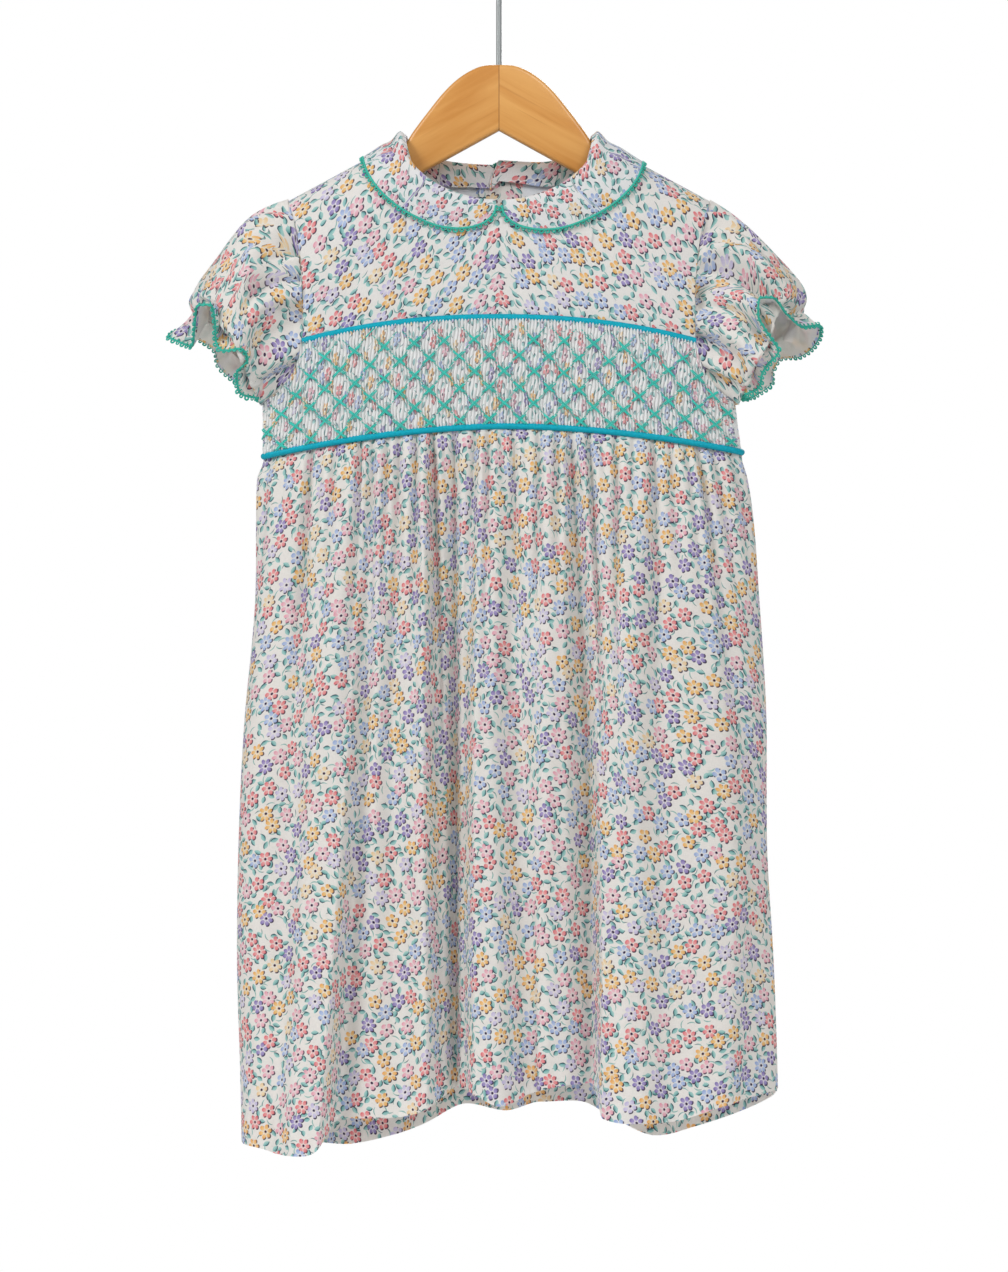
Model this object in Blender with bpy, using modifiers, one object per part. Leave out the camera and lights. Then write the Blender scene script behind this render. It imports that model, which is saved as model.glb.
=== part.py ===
"""A child's smocked cotton dress with puff sleeves, hanging on a wooden hanger, at its real size.

+Z is up and the front faces -Y. The origin is the inside of the hook's top, where a rail carries it.
Sizes here are millimetres, and metres() turns each finished point into Blender's metres.
"""

import math

import bmesh
import bpy
import numpy as np

WALL = 1.2  # thickness of the cloth
SEAM = 0.3  # gap between pieces that are sewn together
SEAM_RUN = 1.6  # how far below the shoulder line each panel starts

# The hanger, from the rail down.
HOOK_INNER_RADIUS = 18.0
WIRE_RADIUS = 1.7
HOOK_TURN = (-50.0, 200.0)  # where its round part starts and ends, in degrees
HOOK_LEAN_HEIGHT = 13.0  # over this height the stem leans aside to meet the round part
HOOK_LEAN_PULL = 9.0
WOOD_TOP = -84.0
WOOD_THICK = 11.0
WOOD_EDGE = 2.0
NOTCH_TOP = -123.6
NOTCH_SLOPE = 0.55
ARM_REACH = 121.0
ARM_CLEARANCE = 7.1  # from the shoulder's outer face down to the wood
ARM_END_HEIGHT = 22.0
CROWN = ((12.6, -85.5), (24.6, -92.4), (33.6, -101.0), (42.6, -112.2), (51.6, -124.2), (57.0, -132.4))

# The bodice, as worn flat on the hanger.
CHEST_HALF = 142.0
CHEST_DEPTH_FRONT = 22.0
CHEST_DEPTH_BACK = 20.0
CHEST_ROUNDNESS = 2.6
SHOULDER_PEAK = -97.4  # where the two shoulder slopes would meet
SHOULDER_SLOPE = 0.54
SHOULDER_ROUND = 40.0  # how far below the shoulder line the cloth stops curving
SHOULDER_RUN = 47.0  # the length of cloth over that curve
NECK_HALF = 60.0
NECK_SIDE_Z = -129.8
NECK_DROP_FRONT = 39.4
NECK_DROP_BACK = 18.0
UPPER_SEAM_Z = -237.0
UPPER_SEAM_SAG = 14.0
UPPER_SEAM_HALF = 118.0
LOWER_SEAM_Z = -302.4
LOWER_SEAM_SAG = 16.0
LOWER_SEAM_TILT = 0.012
PIPING_RADIUS = 2.0
PIPED_GAP = PIPING_RADIUS + SEAM

# The armhole's edge: distance from the middle, height.
SHOULDER_END = 127.0
ARMHOLE = (
    (SHOULDER_END, -166.0),
    (122.5, -182.0),
    (119.0, -205.0),
    (117.6, -230.0),
    (118.0, -251.0),
    (121.0, -264.0),
    (129.0, -277.0),
    (CHEST_HALF, -289.0),
)

# The back opening: the left half laps over the right one.
OVERLAP = 12.0
UNDERLAP_DROP = WALL + 0.5
UNDERLAP_LOW = 6.0  # how far the covered corner stays below the neck
UNDERLAP_RISE = (26.0, 46.0)  # between these distances from the middle the lower half comes level again
SIDE_GAP = 0.8  # how far each panel stops short of the side seam

# Heights along the armhole's edge at which the yoke and the back panels have their rows.
YOKE_HEIGHTS = (-166.0, -168.5, -173.0, -182.0, -193.0, -205.0, -217.0, -230.0, -241.0, -253.3)
BACK_HEIGHTS = (-166.0, -168.5, -173.0, -182.0, -205.0, -230.0, -251.0, -264.0, -277.0, -289.0, -304.0, -320.0)
# Where the back panels' columns start at the top, as distances from the middle.
BACK_COLUMNS = (-OVERLAP, 0.0, 15.5, 30.0, 42.4, 52.0, 58.0, 60.0, 80.0, 103.0, SHOULDER_END)

# The side seams of bodice and skirt: height, left edge, right edge.
SILHOUETTE = (
    (-289.0, -142.0, 142.0),
    (-321.0, -142.0, 146.5),
    (-333.0, -146.0, 150.0),
    (-405.0, -147.0, 157.0),
    (-477.0, -153.5, 161.0),
    (-549.0, -157.0, 161.5),
    (-621.0, -158.0, 165.5),
    (-693.0, -156.0, 168.0),
    (-745.0, -155.0, 169.0),
)

# The skirt's depth each side of the side seams: share of its length, front, back.
SKIRT_DEPTHS = (
    (0.0, 23.0, 20.5),
    (0.03, 29.0, 27.0),
    (0.1, 33.0, 31.0),
    (0.3, 37.0, 35.0),
    (0.6, 41.0, 39.0),
    (1.0, 46.0, 44.0),
)
SKIRT_ROUNDNESS = 2.3
WAIST_Z = -321.0  # the waist seam at the side seams
HEM_Z = -715.0  # a middle height of the hem, for the sections' places
SIDE_OUT = 0.7  # the side seams' edges stay this far off the plane between front and back
SKIRT_ROWS = (0.0, 0.02, 0.06, 0.13, 0.24, 0.42, 0.62, 0.82, 1.0)
FRONT_GATHERS = 36
BACK_GATHERS = 28
# How far the small gathers stand out under the waist seam: share of the length, amplitude.
GATHER_FADE = ((0.0, 1.1), (0.02, 2.5), (0.06, 2.4), (0.13, 1.7), (0.24, 0.9), (0.42, 0.3), (0.6, 0.0))
FOLD_AT_WAIST = 0.3  # share of a fold's middle depth that it has under the gathers

# Lines along the crests, edges and troughs of the front skirt's folds, from left to right:
# x at the waist, x half way, x at the hem, depth half way, depth at the hem, height of the hem.
FRONT_FOLDS = (
    (-128.0, -142.0, -142.0, 4.0, 3.0, -735.0),
    (-112.0, -125.0, -133.0, -1.0, 1.0, -738.5),
    (-95.0, -108.0, -119.0, 8.0, 9.0, -739.0),
    (-83.0, -92.0, -106.0, 9.0, 10.0, -735.0),
    (-78.0, -85.0, -100.0, -8.0, -15.0, -717.5),
    (-70.0, -75.0, -80.0, -2.0, -9.0, -717.0),
    (-60.0, -63.5, -60.0, -6.0, -14.0, -716.0),
    (-46.0, -45.5, -45.0, -1.0, -11.0, -711.0),
    (-36.5, -32.0, -32.0, -15.0, -23.0, -704.0),
    (-15.0, -20.0, -19.5, -17.0, -23.0, -698.0),
    (-10.0, -13.5, -13.5, 2.0, 0.0, -703.0),
    (-4.5, -6.0, -1.0, 5.0, 4.0, -708.5),
    (6.0, 11.0, 18.5, -5.0, -11.0, -702.0),
    (31.0, 29.5, 30.5, 1.0, -8.0, -699.0),
    (40.5, 51.0, 56.0, -9.0, -15.0, -695.5),
    (50.0, 60.5, 65.5, 4.0, 6.0, -710.5),
    (81.5, 81.0, 84.5, 7.0, 9.0, -718.8),
    (96.0, 102.0, 104.0, 1.0, 3.0, -718.0),
    (114.5, 135.0, 134.0, 5.0, 5.0, -709.0),
    (124.0, 150.5, 149.5, 0.0, -3.0, -705.5),
)
FRONT_HEM_ENDS = (-732.5, -700.0)

# The same for the back skirt.
BACK_FOLDS = (
    (-122.0, -136.0, -140.0, 5.0, 8.0, -737.0),
    (-101.0, -113.0, -116.0, -4.0, -8.0, -735.0),
    (-80.0, -88.0, -92.0, 6.0, 9.0, -738.0),
    (-60.0, -66.0, -66.0, -5.0, -12.0, -731.0),
    (-41.0, -44.0, -44.0, 4.0, 6.0, -725.0),
    (-22.0, -24.0, -20.0, -7.0, -14.0, -712.0),
    (-2.0, 2.0, 4.0, 6.0, 9.0, -718.0),
    (19.0, 22.0, 26.0, -6.0, -13.0, -711.0),
    (40.0, 45.0, 50.0, 5.0, 5.0, -712.0),
    (60.0, 66.0, 72.0, -4.0, -8.0, -722.0),
    (82.0, 92.0, 94.0, 7.0, 11.0, -733.0),
    (103.0, 116.0, 120.0, -5.0, -9.0, -726.0),
    (125.0, 140.0, 144.0, 5.0, 7.0, -717.0),
)
BACK_HEM_ENDS = (-732.5, -700.0)

# The smocked panel: pleats stitched together in a lattice.
PLEATS = 84
PLEAT_DEPTH = 0.9
LATTICE_ROWS = 6
LATTICE_WIDTH = 18.0
LATTICE_PULL = 0.7  # how far a stitch pulls its neighbours in
INSIDE_STEP = 8  # the plain inside has a column for each of this many outer ones

# The collar. Its stations run round the neck from the front middle to the back middle, as angles.
COLLAR_FRONT_STATIONS = (3, 10, 19, 29, 40, 51, 61, 69, 76, 82, 86)
COLLAR_STATIONS = (*COLLAR_FRONT_STATIONS, 90, 94, *[180 - angle for angle in COLLAR_FRONT_STATIONS[-2::-1]])
COLLAR_REACH = {"left": 81.0, "right": 86.0}
COLLAR_DROP_FRONT = 43.0
COLLAR_DROP_BACK = 28.0
COLLAR_SLIM = 1.15  # over 1 cuts the outer edge closer to the neck between front and shoulder
COLLAR_LOBE = 26.0  # angle over which each rounded end reaches its full width
COLLAR_END_WIDTH = 0.12
COLLAR_LIFT = WALL + 0.7  # the outer face's height over the bodice
COLLAR_BELLY = 1.2  # how much higher it bows half way out
STAND_LIFT = -(2 * WALL + 1.5)  # the stand's face, inside the neck
STAND_FRONT = 6.0
STAND_BACK = 14.0
STAND_AT_PLACKET = 0.08  # share of the stand that is left where the back opening's edges fold
ROLL_FRONT = 2.2
ROLL_SIDE = 5.5
ROLL_BACK = 4.5
EDGING_RADIUS = 0.8

# A sleeve: share of its length, top point (distance from the middle, height), bottom point, half depth.
SLEEVES = {
    "left": (
        (0.0, 127.5, -166.0, 142.6, -288.4, 15.0),
        (0.25, 149.0, -175.5, 143.8, -289.5, 25.0),
        (0.5, 168.0, -199.0, 145.0, -288.0, 31.0),
        (0.75, 181.0, -218.0, 145.5, -284.5, 31.0),
        (0.9, 184.5, -227.0, 144.5, -281.0, 27.0),
        (1.0, 182.5, -232.0, 143.5, -278.0, 23.0),
        (1.15, 187.0, -238.5, 147.5, -282.5, 26.0),
        (1.3, 193.0, -244.5, 153.0, -287.0, 29.0),
    ),
    "right": (
        (0.0, 127.5, -166.0, 142.6, -288.4, 15.0),
        (0.25, 146.0, -178.5, 144.0, -288.5, 25.0),
        (0.5, 167.0, -201.0, 145.5, -286.5, 31.0),
        (0.75, 181.5, -219.0, 146.5, -283.0, 31.0),
        (0.9, 184.0, -228.0, 146.0, -278.5, 27.0),
        (1.0, 181.5, -234.0, 145.0, -274.5, 23.0),
        (1.15, 186.0, -239.0, 149.0, -279.0, 26.0),
        (1.3, 191.5, -243.5, 154.0, -283.0, 29.0),
    ),
}
SLEEVE_ROWS = (0.0, 0.08, 0.25, 0.5, 0.75, 0.9, 1.0, 1.15, 1.3)
SLEEVE_COLUMNS = 40
SLEEVE_SEAM = 1.7  # its gap to the armhole's edge
SLEEVE_TURN = {"left": 6.0, "right": 7.0}  # how far the cuff's back stands out past its middle
SLEEVE_PHASE = {"left": 0.6, "right": 0.0}  # where the folds start, in radians
HEAD_GATHER = 1.5
CUFF_GATHER = 1.5
RUFFLE_WAVE = 5.0
RUFFLE_WAVES = 5
PUFF_FOLD = 3.0
PUFF_FOLDS = 3
PUFF_TWIST = 2.5  # how far the puff's folds turn along the sleeve, in radians

BUTTON_RADIUS = 5.5
BUTTON_THICK = 2.2
BUTTON_HEIGHTS = (-168.0, -208.0, -248.0, -288.0)

# Base colour, roughness and metallic value of each material.
COLOURS = {
    "floral_cotton": ((0.68, 0.62, 0.60), 0.85, 0.0),
    "smocked_cotton": ((0.62, 0.64, 0.62), 0.85, 0.0),
    "teal_piping": ((0.02, 0.36, 0.43), 0.8, 0.0),
    "teal_thread": ((0.03, 0.35, 0.30), 0.8, 0.0),
    "hanger_wood": ((0.72, 0.42, 0.16), 0.4, 0.0),
    "hook_steel": ((0.62, 0.62, 0.62), 0.3, 1.0),
    "button_shell": ((0.90, 0.88, 0.84), 0.25, 0.0),
}


def metres(point):
    return tuple(0.001 * float(value) for value in point)


def ease(start, end, value):
    share = min(1.0, max(0.0, (value - start) / (end - start)))
    return share * share * (3 - 2 * share)


def look_up(table, at, column):
    """The value in one column of a table whose first column rises or falls, read between its rows."""
    rows = sorted(table)
    return float(np.interp(at, [row[0] for row in rows], [row[column] for row in rows]))


def material(name):
    found = bpy.data.materials.get(name)
    if found:
        return found
    colour, roughness, metallic = COLOURS[name]
    made = bpy.data.materials.new(name)
    made.use_nodes = True
    shader = made.node_tree.nodes["Principled BSDF"]
    shader.inputs["Base Color"].default_value = (*colour, 1.0)
    shader.inputs["Roughness"].default_value = roughness
    shader.inputs["Metallic"].default_value = metallic
    return made


def add_object(name, data, slot):
    made = bpy.data.objects.new(name, data)
    data.materials.append(material(slot))
    bpy.data.collections["smocked_dress"].objects.link(made)
    return made


def shaded_smooth(mesh):
    mesh.shade_smooth()
    mesh.set_sharp_from_angle(angle=math.radians(50))


def cloth(name, rows, slot, faces_back=False, closed=False):
    """A wall of cloth from rows of points, its outer face first, thickened inwards by Solidify."""
    mesh = bpy.data.meshes.new(name)
    shape = bmesh.new()
    grid = [[shape.verts.new(metres(point)) for point in row] for row in rows]
    width = len(grid[0])
    for upper, lower in zip(grid, grid[1:], strict=False):
        for left in range(width if closed else width - 1):
            right = (left + 1) % width
            corners = [upper[left], lower[left], lower[right], upper[right]]
            shape.faces.new(corners[::-1] if faces_back else corners)
    shape.to_mesh(mesh)
    shape.free()
    shaded_smooth(mesh)
    made = add_object(name, mesh, slot)
    thick = made.modifiers.new("thickness", "SOLIDIFY")
    thick.thickness = 0.001 * WALL
    thick.offset = -1.0
    return made


def tube(name, points, radius, slot, closed=False, resolution=2):
    """A round cord along points, on a POLY spline."""
    curve = bpy.data.curves.new(name, "CURVE")
    curve.dimensions = "3D"
    curve.bevel_depth = 0.001 * radius
    curve.bevel_resolution = resolution
    curve.use_fill_caps = not closed
    spline = curve.splines.new("POLY")
    spline.points.add(len(points) - 1)
    for place, point in zip(spline.points, points, strict=True):
        place.co = (*metres(point), 1.0)
    spline.use_cyclic_u = closed
    return add_object(name, curve, slot)


# Shared lines of the bodice.


def shoulder_z(x):
    return SHOULDER_PEAK - SHOULDER_SLOPE * abs(x)


def upper_seam_z(x):
    return UPPER_SEAM_Z - UPPER_SEAM_SAG * (abs(x) / UPPER_SEAM_HALF) ** 2.2


def lower_seam_z(x):
    return LOWER_SEAM_Z - LOWER_SEAM_SAG * (abs(x) / CHEST_HALF) ** 1.8 + LOWER_SEAM_TILT * x


def neck_z(x, back=False):
    drop = NECK_DROP_BACK if back else NECK_DROP_FRONT
    return NECK_SIDE_Z - drop * math.sqrt(max(0.0, 1 - (x / NECK_HALF) ** 2))


def chest_out(x, back=False):
    """How far the chest stands out from the side seams' plane at this x."""
    depth = CHEST_DEPTH_BACK if back else CHEST_DEPTH_FRONT
    share = min(1.0, abs(x) / CHEST_HALF)
    return depth * (1 - share**CHEST_ROUNDNESS) ** (1 / CHEST_ROUNDNESS)


def drop_of(run):
    """The height lost after a run down from the shoulder line, and the share of the full depth there."""
    if run > SHOULDER_RUN:
        return SHOULDER_ROUND + run - SHOULDER_RUN, 1.0
    angle = 0.5 * math.pi * run / SHOULDER_RUN
    return SHOULDER_ROUND * (1 - math.cos(angle)), math.sin(angle)


def run_of(drop):
    """The run down the cloth that loses this much height."""
    if drop > SHOULDER_ROUND:
        return SHOULDER_RUN + drop - SHOULDER_ROUND
    return SHOULDER_RUN * math.acos(1 - max(0.0, drop) / SHOULDER_ROUND) / (0.5 * math.pi)


def on_bodice(x, run, lift=0.0):
    """A point over the bodice's outer face. run goes down the front, or down the back where it is negative."""
    back = run < 0
    drop, share = drop_of(abs(run))
    depth = chest_out(x, back)
    up = math.sqrt(max(0.0, 1 - share * share)) * depth / SHOULDER_ROUND
    size = math.hypot(share, up, SHOULDER_SLOPE * up)
    out = depth * share + lift * share / size
    z = shoulder_z(x) - drop + lift * up / size
    side = math.copysign(1.0, x)
    return (x + side * lift * SHOULDER_SLOPE * up / size, out if back else -out, z)


def armhole_x(z):
    return look_up([(height, reach) for reach, height in ARMHOLE], z, 1)


def half_section(left, right, depth, roundness, steps=240):
    """Half a ring from the left seam to the right one: x, distance out, and the length along it."""
    angle = np.linspace(-0.5 * math.pi, 0.5 * math.pi, steps + 1)
    power = 2 / roundness
    across = np.sign(np.sin(angle)) * np.abs(np.sin(angle)) ** power
    x = 0.5 * (left + right) + 0.5 * (right - left) * across
    out = depth * np.abs(np.cos(angle)) ** power
    length = np.concatenate([[0.0], np.cumsum(np.hypot(np.diff(x), np.diff(out)))])
    return x, out, length


def on_section(section, along, lift):
    """The point at a length along a half ring, moved outwards by lift."""
    x, out, length = section
    place = (np.interp(along, length, x), np.interp(along, length, out))
    step = 0.01 * length[-1]
    low, high = max(0.0, along - step), min(length[-1], along + step)
    run_x = np.interp(high, length, x) - np.interp(low, length, x)
    run_out = np.interp(high, length, out) - np.interp(low, length, out)
    size = math.hypot(run_x, run_out)
    return place[0] - lift * run_out / size, place[1] + lift * run_x / size


# The pieces.


def armhole_rows(bottom_run, heights):
    """For each height down the armhole's edge: its x, and its share of the run down to the panel's bottom."""
    rows = []
    for height in heights:
        reach = min(CHEST_HALF - SIDE_GAP, armhole_x(height))
        rows.append((reach, (run_of(shoulder_z(reach) - height) - SEAM_RUN) / (bottom_run - SEAM_RUN)))
    rows[0] = (SHOULDER_END, 0.0)
    rows[-1] = (rows[-1][0], 1.0)
    return rows


def front_yoke():
    neck_share = NECK_HALF / SHOULDER_END
    inner = [neck_share * math.sin(math.pi * step / 12) for step in range(6)]
    outer = [neck_share + (1 - neck_share) * step / 5 for step in range(6)]
    half = inner + outer
    shares = [-value for value in half[:0:-1]] + half
    rows = []
    end_run = run_of(shoulder_z(UPPER_SEAM_HALF) - upper_seam_z(UPPER_SEAM_HALF) - PIPED_GAP)
    for reach, down in armhole_rows(end_run, YOKE_HEIGHTS):
        points = []
        for share in shares:
            top_x = share * SHOULDER_END
            top = run_of(shoulder_z(top_x) - neck_z(top_x)) if abs(top_x) < NECK_HALF - 0.1 else SEAM_RUN
            bottom_x = share * UPPER_SEAM_HALF
            bottom = run_of(shoulder_z(bottom_x) - upper_seam_z(bottom_x) - PIPED_GAP)
            points.append(on_bodice(share * reach, top + (bottom - top) * down))
        rows.append(points)
    cloth("front_yoke", rows, "floral_cotton")


def back_panel(name, side, drop):
    """A back bodice half, from its overlapping edge to the armhole. drop sinks the edge under the other."""
    rows = []
    end_run = run_of(shoulder_z(CHEST_HALF) - BACK_HEIGHTS[-1])
    for edge, down in armhole_rows(end_run, BACK_HEIGHTS):
        points = []
        for top_reach in BACK_COLUMNS:
            share = (top_reach + OVERLAP) / (SHOULDER_END + OVERLAP)
            reach = (edge + OVERLAP) * share - OVERLAP
            top = SEAM_RUN
            if abs(top_reach) < NECK_HALF - 0.1:
                top = run_of(shoulder_z(top_reach) - neck_z(top_reach, back=True))
            if drop:
                top += UNDERLAP_LOW * (1 - ease(-OVERLAP, 0.5 * OVERLAP, reach))
            bottom = run_of(shoulder_z(reach) - lower_seam_z(side * reach) - 0.5 * SEAM)
            lift = -drop * (1 - ease(*UNDERLAP_RISE, reach))
            x, y, z = on_bodice(side * reach, -(top + (bottom - top) * down), lift)
            points.append((x, y + SEAM, z))
        rows.append(points if side > 0 else points[::-1])
    cloth(name, rows, "floral_cotton", faces_back=True)


def smock_top(x):
    """The panel's upper edge: the piped seam, then the lower part of the armhole."""
    seam_end = upper_seam_z(UPPER_SEAM_HALF) - PIPED_GAP
    if abs(x) < UPPER_SEAM_HALF:
        return upper_seam_z(x) - PIPED_GAP
    lower = [(reach, height) for reach, height in ARMHOLE if height < UPPER_SEAM_Z]
    return min(seam_end, look_up(lower, abs(x), 1))


def smock_section(z):
    left, right = look_up(SILHOUETTE, z, 1), look_up(SILHOUETTE, z, 2)
    return half_section(left + SEAM, right - SEAM, CHEST_DEPTH_FRONT + 0.5, CHEST_ROUNDNESS)


def smock_point(share, row, lift):
    """A point of the smocked panel. The lattice's stitches pull the pleats sideways, by turns each way."""
    middle = half_section(-CHEST_HALF, CHEST_HALF, CHEST_DEPTH_FRONT, CHEST_ROUNDNESS)
    x = np.interp(share * middle[2][-1], middle[2], middle[0])
    top, bottom = smock_top(x), lower_seam_z(x) + PIPED_GAP
    z = top + (bottom - top) * row / (LATTICE_ROWS + 1)
    section = smock_section(z)
    from_side = min(1.0, 12 * min(share, 1 - share))
    along = share * section[2][-1]
    if lift >= 0 and 0 < row <= LATTICE_ROWS:
        phase = 2 * math.pi * along / LATTICE_WIDTH - math.pi * (row % 2)
        along -= LATTICE_PULL * from_side * math.sin(phase)
    x, out = on_section(section, along, lift * from_side if lift > 0 else lift)
    return (x, -out - 0.2, z)


def smocked_panel():
    """Pleats raised in the outer points, over a plain inside."""
    columns = 2 * PLEATS
    shares = [column / columns for column in range(columns + 1)]
    last = LATTICE_ROWS + 1
    shape = bmesh.new()

    def line(row, lifts, places):
        return [shape.verts.new(metres(smock_point(*at))) for at in zip(places, [row] * len(places), lifts, strict=True)]

    pleats = [PLEAT_DEPTH * (column % 2) for column in range(columns + 1)]
    inside = shares[::INSIDE_STEP]
    face = [line(row, pleats, shares) for row in range(last + 1)]
    upper, lower = (line(row, [-WALL] * len(inside), inside) for row in (0, last))
    for above, below in zip(face, face[1:], strict=False):
        for left in range(columns):
            shape.faces.new([above[left], below[left], below[left + 1], above[left + 1]])
    half = INSIDE_STEP // 2
    for number in range(len(upper) - 1):
        shape.faces.new([upper[number], upper[number + 1], lower[number + 1], lower[number]])
        first = number * INSIDE_STEP
        for left in range(first, first + INSIDE_STEP):
            near = number + (left >= first + half)
            shape.faces.new([upper[near], face[0][left], face[0][left + 1]])
            shape.faces.new([lower[near], face[last][left + 1], face[last][left]])
        shape.faces.new([upper[number], face[0][first + half], upper[number + 1]])
        shape.faces.new([lower[number], lower[number + 1], face[last][first + half]])
    half = last // 2 + 1
    for row in range(last):
        near = upper if row < half else lower
        shape.faces.new([near[0], face[row + 1][0], face[row][0]])
        shape.faces.new([near[-1], face[row][-1], face[row + 1][-1]])
    shape.faces.new([upper[0], lower[0], face[half][0]])
    shape.faces.new([upper[-1], face[half][-1], lower[-1]])
    mesh = bpy.data.meshes.new("smocked_panel")
    shape.to_mesh(mesh)
    shape.free()
    shaded_smooth(mesh)
    add_object("smocked_panel", mesh, "smocked_cotton")


def pipings():
    reach = UPPER_SEAM_HALF - 2 * SEAM
    across = np.linspace(-reach, reach, 25)
    points = [(x, SEAM - chest_out(x), upper_seam_z(x)) for x in across]
    tube("upper_piping", points, PIPING_RADIUS, "teal_piping", resolution=1)
    section = smock_section(WAIST_Z)
    places = [on_section(section, along, 0.0) for along in np.linspace(0, section[2][-1], 31)]
    points = [(x, -max(PIPING_RADIUS + SIDE_OUT, out), lower_seam_z(x)) for x, out in places]
    tube("lower_piping", points, PIPING_RADIUS, "teal_piping", resolution=1)


def along_skirt(down, at_waist, half_way, at_hem):
    """A smooth course through three values."""
    return at_waist * (1 - down) * (1 - 2 * down) + 4 * half_way * down * (1 - down) + at_hem * down * (2 * down - 1)


def fold_depth(down, half_way, at_hem):
    if down > 0.5:
        return half_way + (at_hem - half_way) * (2 * down - 1)
    return half_way * (FOLD_AT_WAIST + (1 - FOLD_AT_WAIST) * 2 * down) * ease(-0.01, 0.05, down)


def skirt_rows(folds, hem_ends, gathers, depth_column, top_gap):
    """Rows of (x, distance out, height) for one skirt panel, its columns running down the fold lines."""
    columns = 2 * gathers
    waist_left, waist_right = look_up(SILHOUETTE, WAIST_Z, 1), look_up(SILHOUETTE, WAIST_Z, 2)
    waist = [waist_left, *[fold[0] for fold in folds], waist_right]
    marks = [round(columns * (x - waist_left) / (waist_right - waist_left)) for x in waist]
    hems = np.interp(range(columns + 1), marks, [hem_ends[0], *[fold[5] for fold in folds], hem_ends[1]])
    rows = []
    for down in SKIRT_ROWS:
        height = min(WAIST_Z, LOWER_SEAM_Z + (HEM_Z - LOWER_SEAM_Z) * down)
        left, right = look_up(SILHOUETTE, height, 1), look_up(SILHOUETTE, height, 2)
        section = half_section(left, right, look_up(SKIRT_DEPTHS, down, depth_column), SKIRT_ROUNDNESS)
        lines = [left, *[along_skirt(down, *fold[:3]) for fold in folds], right]
        depths = [0.0, *[fold_depth(down, *fold[3:5]) for fold in folds], 0.0]
        places = np.interp(lines, section[0], section[2])
        points = []
        for column in range(columns + 1):
            span = max(index for index, mark in enumerate(marks[:-1]) if mark <= column)
            share = (column - marks[span]) / (marks[span + 1] - marks[span])
            along = places[span] + (places[span + 1] - places[span]) * share
            fold = depths[span] + (depths[span + 1] - depths[span]) * ease(0, 1, share)
            gather = look_up(GATHER_FADE, down, 1) * math.cos(math.pi * column)
            from_side = min(1.0, 0.5 * column, 0.5 * (columns - column))
            x, out = on_section(section, along, (fold + gather) * from_side)
            top = lower_seam_z(x) - top_gap
            points.append((x, max(SIDE_OUT, out), top + (hems[column] - top) * down))
        rows.append(points)
    return rows


def skirt():
    front = skirt_rows(FRONT_FOLDS, FRONT_HEM_ENDS, FRONT_GATHERS, 1, PIPED_GAP)
    cloth("skirt_front", [[(x, -out, z) for x, out, z in row] for row in front], "floral_cotton")
    back = skirt_rows(BACK_FOLDS, BACK_HEM_ENDS, BACK_GATHERS, 2, 0.5 * SEAM)
    cloth("skirt_back", back, "floral_cotton", faces_back=True)


def collar_station(degrees, reach):
    """(neck x, neck run, outer x, outer run) of the collar at an angle round the neck, for the right half."""
    turn = math.radians(degrees)
    sign = -1 if degrees > 90 else 1
    forward = abs(math.cos(turn))
    neck_x = NECK_HALF * math.sin(turn)
    neck_drop = NECK_DROP_BACK if sign < 0 else NECK_DROP_FRONT
    outer_drop = COLLAR_DROP_BACK if sign < 0 else COLLAR_DROP_FRONT
    neck_run = run_of(shoulder_z(neck_x) - NECK_SIDE_Z + neck_drop * forward)
    full_x = reach * math.sin(turn)
    full_run = run_of(shoulder_z(full_x) - shoulder_z(reach) + outer_drop * forward**COLLAR_SLIM)
    from_end = min(degrees - COLLAR_STATIONS[0], COLLAR_STATIONS[-1] - degrees) / COLLAR_LOBE
    lobe = math.sqrt(1 - (1 - min(1.0, from_end)) ** 2)
    width = COLLAR_END_WIDTH + (1 - COLLAR_END_WIDTH) * lobe
    outer_x = neck_x + (full_x - neck_x) * width
    outer_run = neck_run + (full_run - neck_run) * width
    return neck_x, sign * neck_run, outer_x, sign * outer_run


def collar_stand(degrees, side, neck_x, neck_run):
    """The points inside the neck and over the roll, up to where the collar falls."""
    turn = math.radians(degrees)
    sign = math.copysign(1, neck_run)
    off_placket = ease(*UNDERLAP_RISE, neck_x) if sign < 0 else 1.0
    depth = STAND_FRONT + (STAND_BACK - STAND_FRONT) * ease(80, 110, degrees)
    depth *= STAND_AT_PLACKET + (1 - STAND_AT_PLACKET) * off_placket
    inward = STAND_LIFT - (UNDERLAP_DROP * (1 - off_placket) if side > 0 else 0.0)
    roll = ROLL_FRONT + (ROLL_SIDE - ROLL_FRONT) * math.sin(turn) ** 2
    roll += (ROLL_BACK - ROLL_FRONT) * ease(120, 180, degrees)
    on_shoulder = math.sin(turn) ** 4
    beside = ease(50, 80, min(degrees, 180 - degrees))
    out_x = side * math.sin(turn) * beside
    out_y = -math.cos(turn) * beside - sign * (1 - beside)
    size = math.hypot(out_x, out_y)
    out_x, out_y = out_x / size, out_y / size
    points = []
    for down in (depth, 0.4 * depth):
        x, y, z = on_bodice(side * neck_x, sign * (abs(neck_run) + down * (1 - on_shoulder)))
        points.append((x + inward * out_x, y + inward * out_y, z + (0.5 * (depth - down) + 2.0) * on_shoulder))
    x, y, z = on_bodice(side * neck_x, neck_run)
    for out, rise in ((inward + 0.6, 0.75 * roll), (-0.6, roll + 0.6), (1.8, 0.8 * roll)):
        points.append((x + out * out_x, y + out * out_y, z + rise))
    return points


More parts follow.
